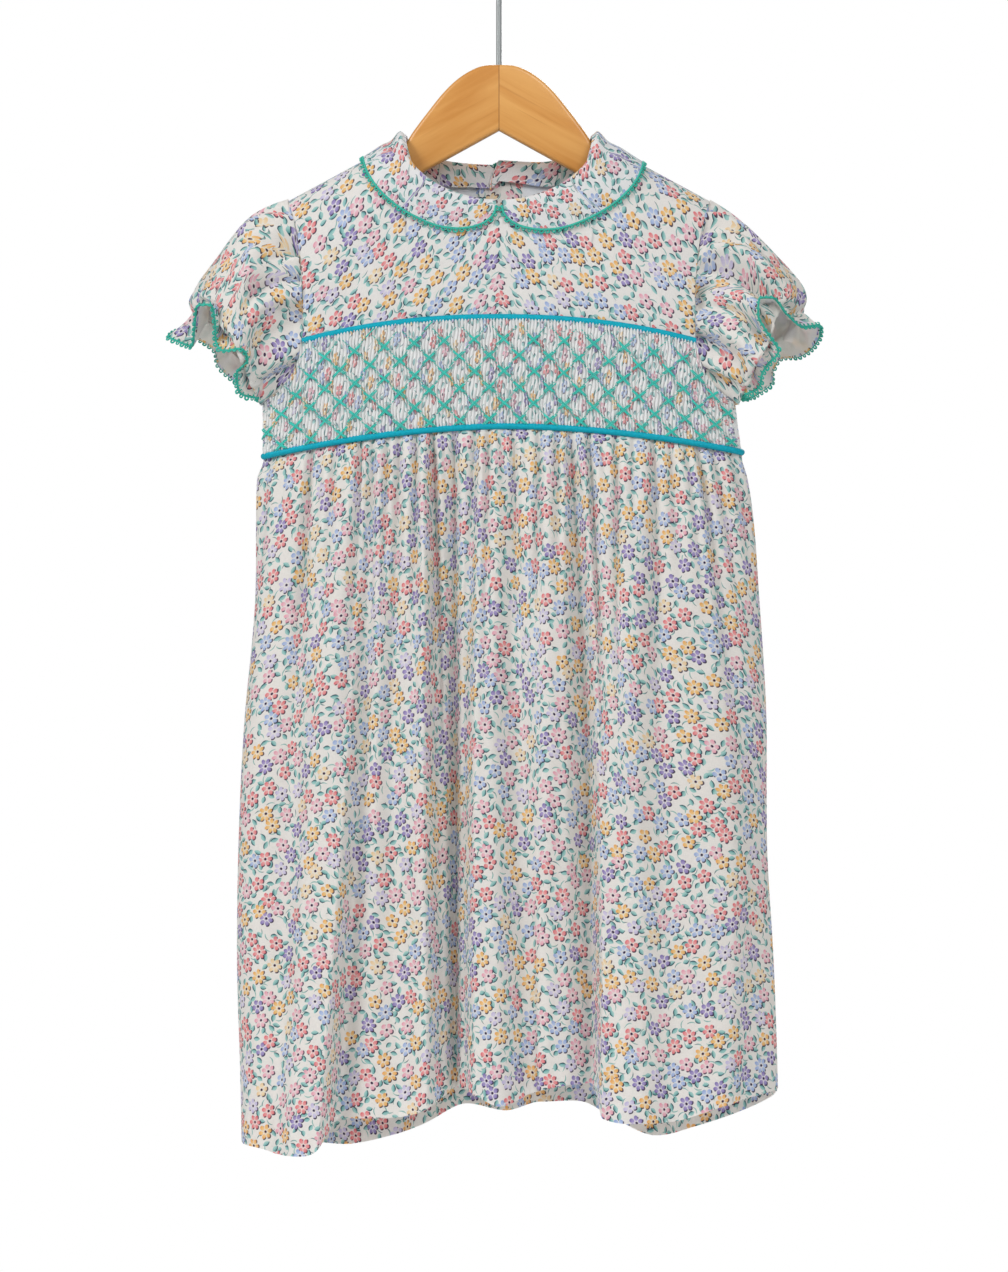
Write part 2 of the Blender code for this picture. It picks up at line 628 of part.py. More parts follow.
def collar(side):
    name = "right" if side > 0 else "left"
    rows, rim = [], []
    for degrees in COLLAR_STATIONS:
        neck_x, neck_run, outer_x, outer_run = collar_station(degrees, COLLAR_REACH[name])
        points = collar_stand(degrees, side, neck_x, neck_run)
        for share in (0.18, 0.45, 0.75, 1.0):
            x = side * (neck_x + (outer_x - neck_x) * share)
            run = neck_run + (outer_run - neck_run) * share
            belly = COLLAR_BELLY * math.sin(math.pi * min(1.0, share + 0.1)) * ease(0, 20, degrees)
            points.append(on_bodice(x, run, COLLAR_LIFT + belly))
        rows.append(points)
        rim.append((outer_x, outer_run))
    cloth(f"collar_{name}", rows, "floral_cotton", faces_back=side > 0)
    edging = []
    for station, (x, run) in enumerate(rim):
        ahead, behind = rim[min(station + 1, len(rim) - 1)], rim[max(station - 1, 0)]
        way_x, way_run = ahead[0] - behind[0], ahead[1] - behind[1]
        beyond = (EDGING_RADIUS + 2 * SEAM) / math.hypot(way_x, way_run)
        edging.append(on_bodice(side * (x - beyond * way_run), run + beyond * way_x, COLLAR_LIFT - 0.2))
    tube(f"collar_edging_{name}", edging, EDGING_RADIUS, "teal_thread", resolution=0)


def armhole_point(share):
    """The right armhole at a share of its way down: x, distance out, z, and the direction out of it."""
    reach, height = zip(*ARMHOLE)
    length = np.concatenate([[0.0], np.cumsum(np.hypot(np.diff(reach), np.diff(height)))])
    at = share * length[-1]
    x, z = np.interp(at, length, reach), np.interp(at, length, height)
    ends = (max(0.0, at - 6), min(length[-1], at + 6))
    way_x = np.diff(np.interp(ends, length, reach))[0]
    way_z = np.diff(np.interp(ends, length, height))[0]
    size = math.hypot(way_x, way_z)
    out = chest_out(x) * drop_of(run_of(shoulder_z(x) - z))[1]
    return x, out, z, -way_z / size, way_x / size


def sleeve_swell(down, turn, column, phase):
    """Gathers, folds and ruffle waves: how far the face stands off the plain sleeve."""
    zigzag = math.cos(math.pi * column)
    head = HEAD_GATHER * max(0.0, math.cos(turn)) * zigzag
    head *= ease(0.0, 0.08, down) * (1 - ease(0.1, 0.5, down))
    cuff = CUFF_GATHER * math.sin(0.5 * math.pi * column)
    cuff *= ease(0.6, 1.0, down) * (1 - ease(1.05, 1.3, down))
    wave = RUFFLE_WAVE * math.sin(RUFFLE_WAVES * turn + phase) * ease(1.0, 1.3, down)
    fold = math.sin(PUFF_FOLDS * turn + PUFF_TWIST * down + phase)
    puff = PUFF_FOLD * fold * ease(0.1, 0.5, down) * (1 - ease(0.7, 1.0, down))
    return head + cuff + wave + puff


def sleeve_point(name, down, column):
    """A point on a sleeve's outer face, for the right side. Column 0 is the top, and the front comes first."""
    turn = 2 * math.pi * column / SLEEVE_COLUMNS
    top_x, top_z, low_x, low_z, depth = (look_up(SLEEVES[name], down, item) for item in range(1, 6))
    half_x, half_z = 0.5 * (top_x - low_x), 0.5 * (top_z - low_z)
    size = math.hypot(half_x, half_z)
    swell = sleeve_swell(down, turn, column, SLEEVE_PHASE[name])
    lean = SLEEVE_TURN[name] * math.sin(turn) * ease(0.5, 1.3, down)
    across = math.cos(turn) * (1 + swell / size)
    x = 0.5 * (top_x + low_x) + half_x * across - half_z / size * lean
    z = 0.5 * (top_z + low_z) + half_z * across + half_x / size * lean
    y = -(depth + swell) * math.sin(turn)
    edge_x, edge_out, edge_z, out_x, out_z = armhole_point(1 - abs(1 - turn / math.pi))
    edge_y = -edge_out if turn < math.pi else edge_out * CHEST_DEPTH_BACK / CHEST_DEPTH_FRONT + SEAM
    edge = (edge_x + SLEEVE_SEAM * out_x, edge_y, edge_z + SLEEVE_SEAM * out_z)
    free = ease(0.0, 0.3, down)
    return tuple(start + (end - start) * free for start, end in zip(edge, (x, y, z), strict=True))


def sleeve(side):
    name = "right" if side > 0 else "left"
    rows = []
    for down in SLEEVE_ROWS:
        ring = [sleeve_point(name, down, column) for column in range(SLEEVE_COLUMNS)]
        rows.append([(side * x, y, z) for x, y, z in ring])
    cloth(f"sleeve_{name}", rows, "floral_cotton", faces_back=side > 0, closed=True)
    edging = []
    for end, start in zip(rows[-1], rows[-2], strict=True):
        way = np.subtract(end, start)
        edging.append(np.add(end, way * (EDGING_RADIUS + SEAM) / np.linalg.norm(way)))
    tube(f"sleeve_edging_{name}", edging, EDGING_RADIUS, "teal_thread", closed=True, resolution=0)


def buttons():
    for number, height in enumerate(BUTTON_HEIGHTS, start=1):
        bpy.ops.mesh.primitive_cylinder_add(
            vertices=16,
            radius=0.001 * BUTTON_RADIUS,
            depth=0.001 * BUTTON_THICK,
            location=metres((0.0, CHEST_DEPTH_BACK + 2 * SEAM + 0.5 * BUTTON_THICK, height)),
            rotation=(0.5 * math.pi, 0.0, 0.0),
        )
        made = bpy.context.object
        made.name = made.data.name = f"button_{number}"
        made.data.materials.append(material("button_shell"))
        made.users_collection[0].objects.unlink(made)
        bpy.data.collections["smocked_dress"].objects.link(made)


def hanger_arm(name, side):
    """Half the wooden hanger: its flat outline, rounded at the rim."""
    outline = [(0.5 * SEAM, WOOD_TOP), *CROWN]
    for reach in (NECK_HALF + 2, 80.0, 100.0, ARM_REACH - 6):
        outline.append((reach, shoulder_z(reach) - ARM_CLEARANCE))
    tip = shoulder_z(ARM_REACH) - ARM_CLEARANCE
    outline += [(ARM_REACH, tip - 3.0), (ARM_REACH + 1.5, tip - 9.0), (ARM_REACH, tip - ARM_END_HEIGHT + 7.0)]
    outline.append((ARM_REACH - 7.0, tip - ARM_END_HEIGHT + 1.0))
    for reach in (80.0, 40.0, 0.5 * SEAM):
        outline.append((reach, NOTCH_TOP - NOTCH_SLOPE * reach))
    curve = bpy.data.curves.new(name, "CURVE")
    curve.dimensions = "2D"
    curve.fill_mode = "BOTH"
    curve.extrude = 0.001 * (0.5 * WOOD_THICK - WOOD_EDGE)
    curve.bevel_depth = 0.001 * WOOD_EDGE
    curve.bevel_resolution = 1
    curve.offset = -0.001 * WOOD_EDGE
    spline = curve.splines.new("POLY")
    spline.points.add(len(outline) - 1)
    for place, (x, z) in zip(spline.points, outline, strict=True):
        place.co = (*metres((side * x, z, 0.0)), 1.0)
    spline.use_cyclic_u = True
    made = add_object(name, curve, "hanger_wood")
    made.rotation_euler = (0.5 * math.pi, 0.0, 0.0)


def hanger_hook():
    """A wire that rises from the wood, leans aside and turns over the rail."""
    radius = HOOK_INNER_RADIUS + WIRE_RADIUS
    start, end = (math.radians(angle) for angle in HOOK_TURN)
    join = (radius * math.cos(start), radius * math.sin(start) - HOOK_INNER_RADIUS)
    stem_top = join[1] - HOOK_LEAN_HEIGHT
    below = (join[0] + HOOK_LEAN_PULL * math.sin(start), join[1] - HOOK_LEAN_PULL * math.cos(start))
    handles = ((0.0, stem_top), (0.0, stem_top + HOOK_LEAN_PULL), below, join)
    points = [(0.0, 0.0, WOOD_TOP + SEAM)]
    for share in np.linspace(0, 1, 9)[:-1]:
        weights = ((1 - share) ** 3, 3 * share * (1 - share) ** 2, 3 * share**2 * (1 - share), share**3)
        x, z = (sum(w * handle[item] for w, handle in zip(weights, handles, strict=True)) for item in (0, 1))
        points.append((x, 0.0, z))
    for angle in np.linspace(start, end, 25):
        points.append((radius * math.cos(angle), 0.0, radius * math.sin(angle) - HOOK_INNER_RADIUS))
    tube("hanger_hook", points, WIRE_RADIUS, "hook_steel")


def main():
    for thing in list(bpy.data.objects):
        bpy.data.objects.remove(thing)
    pieces = bpy.data.collections.new("smocked_dress")
    bpy.context.scene.collection.children.link(pieces)
    hanger_arm("hanger_left", -1)
    hanger_arm("hanger_right", 1)
    hanger_hook()
    front_yoke()
    smocked_panel()
    pipings()
    skirt()
    back_panel("back_left", -1, 0.0)
    back_panel("back_right", 1, UNDERLAP_DROP)
    for side in (-1, 1):
        collar(side)
        sleeve(side)
    buttons()


main()
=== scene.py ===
"""Looks of a child's smocked cotton dress on a wooden hanger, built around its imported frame.

The tables are in millimetres, as in the part's own source, and the mesh makers turn them into metres.
The front faces -Y. A cloth's plan is each point's place on the flat cloth, in millimetres, kept as its UV map.
"""

import math

import bmesh
import bpy
import numpy as np
from bpy.props import FloatProperty, FloatVectorProperty, PointerProperty
from mathutils import Matrix


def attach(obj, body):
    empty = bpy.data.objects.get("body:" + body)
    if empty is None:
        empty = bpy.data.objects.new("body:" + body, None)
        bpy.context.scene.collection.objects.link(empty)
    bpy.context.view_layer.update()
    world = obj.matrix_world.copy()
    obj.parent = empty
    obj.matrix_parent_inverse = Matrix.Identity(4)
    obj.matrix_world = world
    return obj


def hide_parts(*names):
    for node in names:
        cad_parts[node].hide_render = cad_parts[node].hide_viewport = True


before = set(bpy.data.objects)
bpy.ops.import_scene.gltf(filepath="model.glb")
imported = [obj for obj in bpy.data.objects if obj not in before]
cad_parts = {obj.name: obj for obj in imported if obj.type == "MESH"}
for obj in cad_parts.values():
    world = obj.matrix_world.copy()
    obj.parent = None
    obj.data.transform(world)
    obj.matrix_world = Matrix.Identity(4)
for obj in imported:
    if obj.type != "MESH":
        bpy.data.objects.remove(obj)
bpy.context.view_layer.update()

bl_info = {
    "name": "Smocked dress on a hanger",
    "version": (1, 0, 0),
    "blender": (4, 5, 0),
    "location": "3D View > Sidebar > Smocked dress",
    "description": "Builds a child's smocked cotton dress, its hanger and its studio",
    "category": "Object",
}

# The hanger.
HOOK_INNER_RADIUS = 18.0
HOOK_TURN = (-50.0, 200.0)
HOOK_LEAN_HEIGHT = 13.0
HOOK_LEAN_PULL = 9.0
WOOD_TOP = -84.0
WOOD_THICK = 11.0
WOOD_EDGE = 2.4
NOTCH_TOP = -123.6
NOTCH_SLOPE = 0.55
ARM_REACH = 121.0
ARM_CLEARANCE = 7.1
ARM_END_HEIGHT = 22.0
CROWN = (
    (0.0, -84.0),
    (6.0, -84.15),
    (12.6, -85.5),
    (24.6, -92.4),
    (33.6, -101.0),
    (42.6, -112.2),
    (51.6, -124.2),
    (57.0, -132.4),
)

# The bodice.
CHEST_HALF = 142.0
CHEST_DEPTH = {False: 22.0, True: 20.0}
CHEST_ROUNDNESS = 2.6
SHOULDER_PEAK = -97.4
SHOULDER_SLOPE = 0.54
SHOULDER_ROUND = 40.0
SHOULDER_RUN = 47.0
SHOULDER_END = 127.0
NECK_HALF = 60.0
NECK_SIDE_Z = -129.8
NECK_DROP = {False: 39.4, True: 18.0}
UPPER_SEAM_HALF = 118.0
PIPING_RADIUS = 1.95
ARMHOLE = (
    (-166.0, 127.0),
    (-182.0, 122.5),
    (-205.0, 119.0),
    (-230.0, 117.6),
    (-251.0, 118.0),
    (-264.0, 121.0),
    (-277.0, 129.0),
    (-289.0, 142.0),
    (-322.0, 142.0),
)
OVERLAP = 12.0
UNDERLAP_DROP = 1.7
UNDERLAP_RISE = (26.0, 46.0)

# The side seams of bodice and skirt: height, left edge, right edge.
SILHOUETTE = (
    (-289.0, -142.0, 142.0),
    (-321.0, -142.0, 146.5),
    (-333.0, -146.0, 150.0),
    (-405.0, -147.0, 157.0),
    (-477.0, -153.5, 161.0),
    (-549.0, -157.0, 161.5),
    (-621.0, -158.0, 165.5),
    (-693.0, -156.0, 168.0),
    (-745.0, -155.0, 169.0),
)

# The skirt: share of its length, front depth, back depth.
SKIRT_DEPTHS = (
    (0.0, 23.0, 20.5),
    (0.03, 29.0, 27.0),
    (0.1, 33.0, 31.0),
    (0.3, 37.0, 35.0),
    (0.6, 41.0, 39.0),
    (1.0, 46.0, 44.0),
)
SKIRT_ROUNDNESS = 2.3
WAIST_Z = -321.0
HEM_Z = -715.0
HEM_TURN_UP = 0.91  # the inside is printed past this share of the length, where the hem is turned up
GATHER_DEPTH = 1.6  # scales the depths of the gathers below
GATHER_PUFF = 1.8  # how far the cloth swells out between the gathers' dips, just under the seam
# The front's gathers: where each dips at the waist seam, how deep, and over what share of the skirt's length.
FRONT_GATHERS = (
    (-136, 2.6, 0.2),
    (-128, 1.8, 0.12),
    (-121, 1.2, 0.08),
    (-113, 3.8, 0.4),
    (-107, 2.0, 0.14),
    (-98, 2.8, 0.3),
    (-90, 1.4, 0.1),
    (-83, 4.4, 0.5),
    (-76, 3.0, 0.3),
    (-67, 3.2, 0.28),
    (-60, 3.2, 0.36),
    (-50, 4.0, 0.5),
    (-40, 5.0, 0.6),
    (-33, 1.4, 0.1),
    (-27, 3.6, 0.34),
    (-14.5, 3.8, 0.4),
    (-6, 3.4, 0.45),
    (2, 1.5, 0.1),
    (8.5, 3.2, 0.34),
    (16, 1.5, 0.12),
    (24, 3.2, 0.3),
    (35, 3.0, 0.26),
    (42.5, 3.4, 0.36),
    (53.5, 4.4, 0.55),
    (62, 1.4, 0.1),
    (70, 3.2, 0.34),
    (81, 1.8, 0.14),
    (92.5, 3.6, 0.42),
    (103, 2.6, 0.22),
    (112, 2.2, 0.3),
    (119, 3.6, 0.42),
    (128, 2.6, 0.24),
    (137.5, 2.2, 0.2),
)
FOLD_AT_WAIST = 0.3
PLAN_FROM = 0.2  # the print keeps its width above this share of the length, and is bunched up by the gathers
# Fold lines: x at the waist, half way and at the hem, depth half way and at the hem, height of the hem.
FRONT_FOLDS = (
    (-128.0, -142.0, -142.0, 4.0, 3.0, -735.0),
    (-112.0, -125.0, -133.0, -2.0, 0.0, -738.5),
    (-95.0, -108.0, -119.0, 8.0, 9.0, -739.0),
    (-83.0, -92.0, -106.0, 8.0, 10.0, -735.0),
    (-78.0, -84.0, -99.0, -6.5, -15.0, -717.5),
    (-70.0, -75.0, -80.0, -2.0, -9.0, -717.0),
    (-60.0, -63.5, -60.0, -9.0, -15.0, -716.0),
    (-46.0, -45.5, -44.0, 2.0, -7.0, -711.0),
    (-37.0, -34.5, -34.5, -15.0, -24.0, -704.5),
    (-29.0, -28.0, -28.0, -24.0, -32.0, -699.5),
    (-19.0, -22.0, -22.0, -14.0, -20.0, -699.0),
    (-9.5, -13.0, -12.5, 4.0, 2.0, -703.0),
    (-4.5, -5.0, 0.0, 5.0, 4.0, -708.5),
    (5.0, 11.0, 18.5, -6.5, -12.0, -702.0),
    (31.0, 29.5, 28.0, 2.0, -7.0, -699.0),
    (36.5, 39.0, 39.0, 0.0, -9.0, -697.0),
    (43.5, 52.0, 56.0, -13.0, -19.0, -696.0),
    (51.0, 60.5, 61.0, 5.0, 7.0, -715.5),
    (81.5, 81.0, 84.5, 7.0, 9.0, -718.8),
    (96.0, 102.0, 104.0, 0.0, 2.0, -718.0),
    (114.5, 135.0, 134.0, 5.0, 5.0, -709.0),
    (124.0, 150.5, 149.5, 0.0, -3.0, -705.5),
)
BACK_FOLDS = (
    (-122.0, -136.0, -140.0, 5.0, 8.0, -737.0),
    (-101.0, -113.0, -116.0, -4.0, -8.0, -735.0),
    (-80.0, -88.0, -92.0, 6.0, 9.0, -738.0),
    (-60.0, -66.0, -66.0, -5.0, -12.0, -731.0),
    (-41.0, -44.0, -44.0, 4.0, 6.0, -725.0),
    (-22.0, -24.0, -20.0, -7.0, -14.0, -712.0),
    (-2.0, 2.0, 4.0, 6.0, 9.0, -718.0),
    (19.0, 22.0, 26.0, -6.0, -13.0, -711.0),
    (40.0, 45.0, 50.0, 5.0, 5.0, -712.0),
    (60.0, 66.0, 72.0, -4.0, -8.0, -722.0),
    (82.0, 92.0, 94.0, 7.0, 11.0, -733.0),
    (103.0, 116.0, 120.0, -5.0, -9.0, -726.0),
    (125.0, 140.0, 144.0, 5.0, 7.0, -717.0),
)
HEM_ENDS = (-732.5, -700.0)

# The smocked panel.
PLEATS = 156
PLEAT_DEPTH = 1.45
PLEAT_CLOTH = 5.6  # flat width of the cloth that each pleat takes up
PLEAT_TURNS = (0.0, 0.27, 0.4, 0.5, 0.6, 0.73)  # share of that cloth at each of a pleat's steps: most is in the valley
PANEL_UNITS = 7.0  # the panel's height is counted in these
STITCH_ROWS = 7
FIRST_ROW = 0.33
ROW_STEP = 1.045
LATTICE_WIDTH = 17.9
LATTICE_PULL = 0.6
# The pleated cloth's ground is whiter and its print fainter than the printed cotton's: painted light on the pleats'
# tops.
PLEAT_LIT_GROUND = "FDFDFC"
PLEAT_SPACING = 1.3  # how much further apart its flowers lie than on the other cloth
PLEAT_PRINT = 0.85  # how much of the print's colour shows on the pleats' tops, faded towards the whiter ground as painted light
STAR_REACH = (3.3, 0.32)  # half width in millimetres and half height in units

# The collar, by angle round the neck from the front middle to the back middle.
COLLAR_ENDS = (1.6, 177.0)
COLLAR_REACH = {-1: 81.0, 1: 86.0}
COLLAR_DROP = {-1: 47.0, 1: 45.0, "back": 28.0}
COLLAR_SLIM = 1.15
COLLAR_LOBE = 29.0
COLLAR_END_WIDTH = 0.04
COLLAR_LIFT = 1.9
COLLAR_BELLY = 1.2
STAND_LIFT = -3.9
STAND_DEPTHS = (6.0, 9.5)
STAND_LAP = 8.5  # how far the right half's stand passes under the left one at the back
ROLLS = (2.2, 5.5, 4.5)
COLLAR_ROLL = 12  # the column of a collar's points at which its edging stops, over the roll of its back end

# A sleeve: share of its length, top point (distance from the middle, height), bottom point, half depth.
SLEEVES = {
    -1: (
        (0.0, 127.5, -166.0, 142.6, -288.4, 15.0),
        (0.25, 149.0, -175.5, 143.8, -289.5, 25.0),
        (0.5, 168.0, -199.0, 145.0, -288.0, 31.0),
        (0.75, 181.0, -218.0, 145.5, -284.5, 31.0),
        (0.9, 184.5, -227.0, 144.5, -281.0, 27.0),
        (1.0, 182.5, -232.0, 143.5, -278.0, 23.0),
        (1.15, 187.0, -238.5, 147.5, -282.5, 26.0),
        (1.3, 193.0, -244.5, 153.0, -287.0, 29.0),
    ),
    1: (
        (0.0, 127.5, -166.0, 142.6, -288.4, 15.0),
        (0.25, 146.0, -178.5, 144.0, -288.5, 25.0),
        (0.5, 167.0, -201.0, 145.5, -286.5, 31.0),
        (0.75, 181.5, -219.0, 146.5, -283.0, 31.0),
        (0.9, 184.0, -228.0, 146.0, -278.5, 27.0),
        (1.0, 181.5, -234.0, 145.0, -274.5, 23.0),
        (1.15, 186.0, -239.0, 149.0, -279.0, 26.0),
        (1.3, 191.5, -243.5, 154.0, -283.0, 29.0),
    ),
}
SLEEVE_END = 1.3
SLEEVE_TURN = {-1: 6.0, 1: 7.0}
SLEEVE_PHASE = {-1: 0.6, 1: 0.0}
SLEEVE_GATHERS = 20
CUFF_GATHERS = 13
PUFF_FOLD = 2.0
PUFF_FOLDS = 3
PUFF_TWIST = 2.5
# Creases of a sleeve: angle and share of its length at one end, the same at the other, depth, half width in degrees.
SLEEVE_CREASES = {
    -1: (
        (40, 0.0, 64, 0.3, 4.5, 8),
        (64, 0.02, 84, 0.4, 5.0, 7),
        (84, 0.0, 98, 0.3, 3.0, 7),
        (100, 0.05, 118, 0.45, 3.5, 9),
        (60, 1.0, 66, 0.66, 2.5, 6),
        (96, 1.0, 92, 0.6, 3.0, 7),
        (124, 1.0, 120, 0.55, 3.0, 8),
        (140, 0.0, 150, 0.5, 2.5, 9),
        (215, 0.0, 222, 0.5, 3.0, 9),
        (262, 0.0, 250, 0.35, 4.0, 8),
        (300, 0.0, 282, 0.35, 4.0, 8),
        (262, 1.0, 266, 0.6, 3.0, 8),
        (320, 1.0, 318, 0.65, 2.5, 7),
    ),
    1: (
        (55, 0.0, 66, 0.25, 3.0, 7),
        (78, 0.0, 46, 0.85, 6.0, 9),
        (88, 0.02, 96, 0.9, 5.0, 8),
        (114, 0.05, 130, 0.4, 3.5, 8),
        (30, 0.0, 38, 0.3, 2.0, 7),
        (120, 1.0, 124, 0.6, 3.0, 7),
        (146, 0.1, 150, 0.7, 2.5, 8),
        (212, 0.0, 220, 0.5, 3.0, 9),
        (258, 0.0, 246, 0.35, 4.0, 8),
        (296, 0.0, 284, 0.4, 4.0, 8),
        (268, 1.0, 272, 0.6, 3.0, 8),
        (318, 1.0, 322, 0.65, 2.5, 7),
    ),
}
# Where the ruffle's edge hangs: angle round the sleeve from its top, distance from the middle, height, distance out.
RUFFLES = {
    -1: (
        (-15, 199.5, -247.5, 0.0),
        (0, 191.5, -251.5, 6.0),
        (12, 184.8, -254.0, 12.0),
        (24, 182.5, -243.0, 21.0),
        (36, 180.0, -230.5, 31.0),
        (46, 172.8, -230.0, 34.0),
        (58, 170.0, -240.5, 31.0),
        (70, 169.6, -251.5, 28.0),
        (82, 164.4, -257.5, 31.0),
        (94, 154.6, -256.4, 35.0),
        (106, 150.4, -263.0, 32.0),
        (118, 157.0, -271.0, 26.0),
        (132, 156.0, -281.5, 20.0),
        (152, 146.0, -285.0, 13.0),
        (180, 144.0, -285.5, 0.0),
        (212, 147.5, -281.0, -15.0),
        (240, 160.0, -273.5, -25.0),
        (262, 169.8, -264.5, -25.0),
        (285, 173.4, -254.0, -30.0),
        (305, 184.0, -247.0, -23.0),
        (325, 191.5, -243.0, -13.0),
    ),
    1: (
        (-14, 193.4, -246.5, 0.0),
        (2, 192.6, -241.0, 9.0),
        (16, 182.6, -242.6, 20.0),
        (30, 172.4, -235.6, 29.0),
        (43, 163.4, -226.0, 36.0),
        (55, 155.6, -226.6, 40.0),
        (68, 154.8, -236.0, 38.0),
        (82, 160.2, -246.5, 34.0),
        (96, 167.2, -258.0, 31.0),
        (108, 161.0, -265.6, 27.0),
        (120, 157.6, -271.6, 24.0),
        (134, 156.4, -278.5, 19.0),
        (154, 148.2, -283.0, 12.0),
        (180, 145.8, -285.0, 1.0),
        (210, 155.0, -282.5, -14.0),
        (236, 165.0, -274.6, -22.0),
        (260, 166.2, -267.0, -28.0),
        (285, 171.5, -259.5, -26.0),
        (310, 180.6, -259.0, -19.0),
        (330, 188.6, -254.5, -10.0),
    ),
}
CREASE_DEPTH = 1.8  # scales the depths above
WIDEST = 0.55  # share of a sleeve's length where its cloth lies with the fewest gathers
RUFFLE_LEAD = 0.45  # how much of the ruffle's sway the elastic follows

BUTTON_RADIUS = 5.5
BUTTON_THICK = 2.2
BUTTON_HEIGHTS = (-168.0, -208.0, -248.0, -288.0)

# The studio.
PHOTO_MIDDLE = (0.003, -0.4282)  # x and z of the picture's middle, at the dress
PHOTO_HEIGHT = 0.7632  # what the picture's height takes in, at the dress
FLOOR_Z = -0.95

# The print's flowers: share of all flowers from which each petal colour goes, petal's end, petal's base.
PETALS = (
    (0.0, "EE8086", "F7B2B2"),
    (0.18, "F1ABBD", "F8D2DB"),
    (0.36, "F8BA68", "FBD89C"),
    (0.52, "F6D8A6", "FAE8CA"),
    (0.58, "8D7EBC", "BBAEDB"),
    (0.7, "D2C9E8", "E6E0F3"),
    (0.8, "A4BAE6", "CAD8F2"),
)
FLOWER_LOOSENESS = 0.62
THROUGH = 0.35  # share of the light that goes into the cloth and not back from it
LEAF_HALF_WIDTH = 1.35


def linear(text):
    """An sRGB hex colour as linear RGBA."""
    values = [int(text[place : place + 2], 16) / 255 for place in (0, 2, 4)]
    return (*[v / 12.92 if v <= 0.04045 else ((v + 0.055) / 1.055) ** 2.4 for v in values], 1.0)


def ease(start, end, value):
    share = np.clip((np.asarray(value, float) - start) / (end - start), 0.0, 1.0)
    return share * share * (3 - 2 * share)


def course(table, at, column):
    """A smooth curve through one column of a table, with no overshoot between its rows."""
    rows = sorted(table)
    x = np.array([row[0] for row in rows], float)
    y = np.array([row[column] for row in rows], float)
    at = np.clip(np.asarray(at, float), x[0], x[-1])
    step = np.diff(x)
    rise = np.diff(y) / step
    slope = np.concatenate([[rise[0]], 0.5 * (rise[1:] + rise[:-1]), [rise[-1]]])
    slope[1:-1][rise[1:] * rise[:-1] <= 0] = 0.0
    limit = 3 * np.minimum(np.abs(np.append(rise, rise[-1])), np.abs(np.append(rise[0], rise)))
    slope = np.clip(slope, -limit, limit)
    span = np.clip(np.searchsorted(x, at, side="right") - 1, 0, len(step) - 1)
    t = (at - x[span]) / step[span]
    start = y[span] * (1 + 2 * t) * (1 - t) ** 2 + slope[span] * step[span] * t * (1 - t) ** 2
    end = y[span + 1] * t * t * (3 - 2 * t) + slope[span + 1] * step[span] * t * t * (t - 1)
    return start + end


def ripple(across, along, size, seed, stretch=1.0, waves=9):
    """Soft seeded unevenness of about -1 to 1, with bumps about size wide and size * stretch long."""
    chance = np.random.default_rng(seed)
    total = np.zeros(np.broadcast(across, along).shape)
    for _ in range(waves):
        turn = chance.uniform(0, 2 * math.pi)
        pitch = 2 * math.pi / (size * chance.uniform(0.7, 1.8))
        total += np.sin(pitch * (math.cos(turn) * across + math.sin(turn) * along / stretch) + chance.uniform(0, 6.28))
    return total / math.sqrt(waves)


# Meshes.


def lengths(points, axis):
    """How far along the given axis of a grid of points each one is."""
    steps = np.linalg.norm(np.diff(points, axis=axis), axis=-1)
    start = np.zeros_like(np.take(steps, [0], axis=axis))
    return np.cumsum(np.concatenate([start, steps], axis=axis), axis=axis)


def outward(points, closed, turned):
    """Unit normals of a grid of points."""
    ring = np.concatenate([points[:, -1:], points, points[:, :1]], axis=1) if closed else points
    across = np.gradient(ring, axis=1)
    across = across[:, 1:-1] if closed else across
    normal = np.cross(across, np.gradient(points, axis=0))
    normal /= np.maximum(np.linalg.norm(normal, axis=-1, keepdims=True), 1e-9)
    return -normal if turned else normal


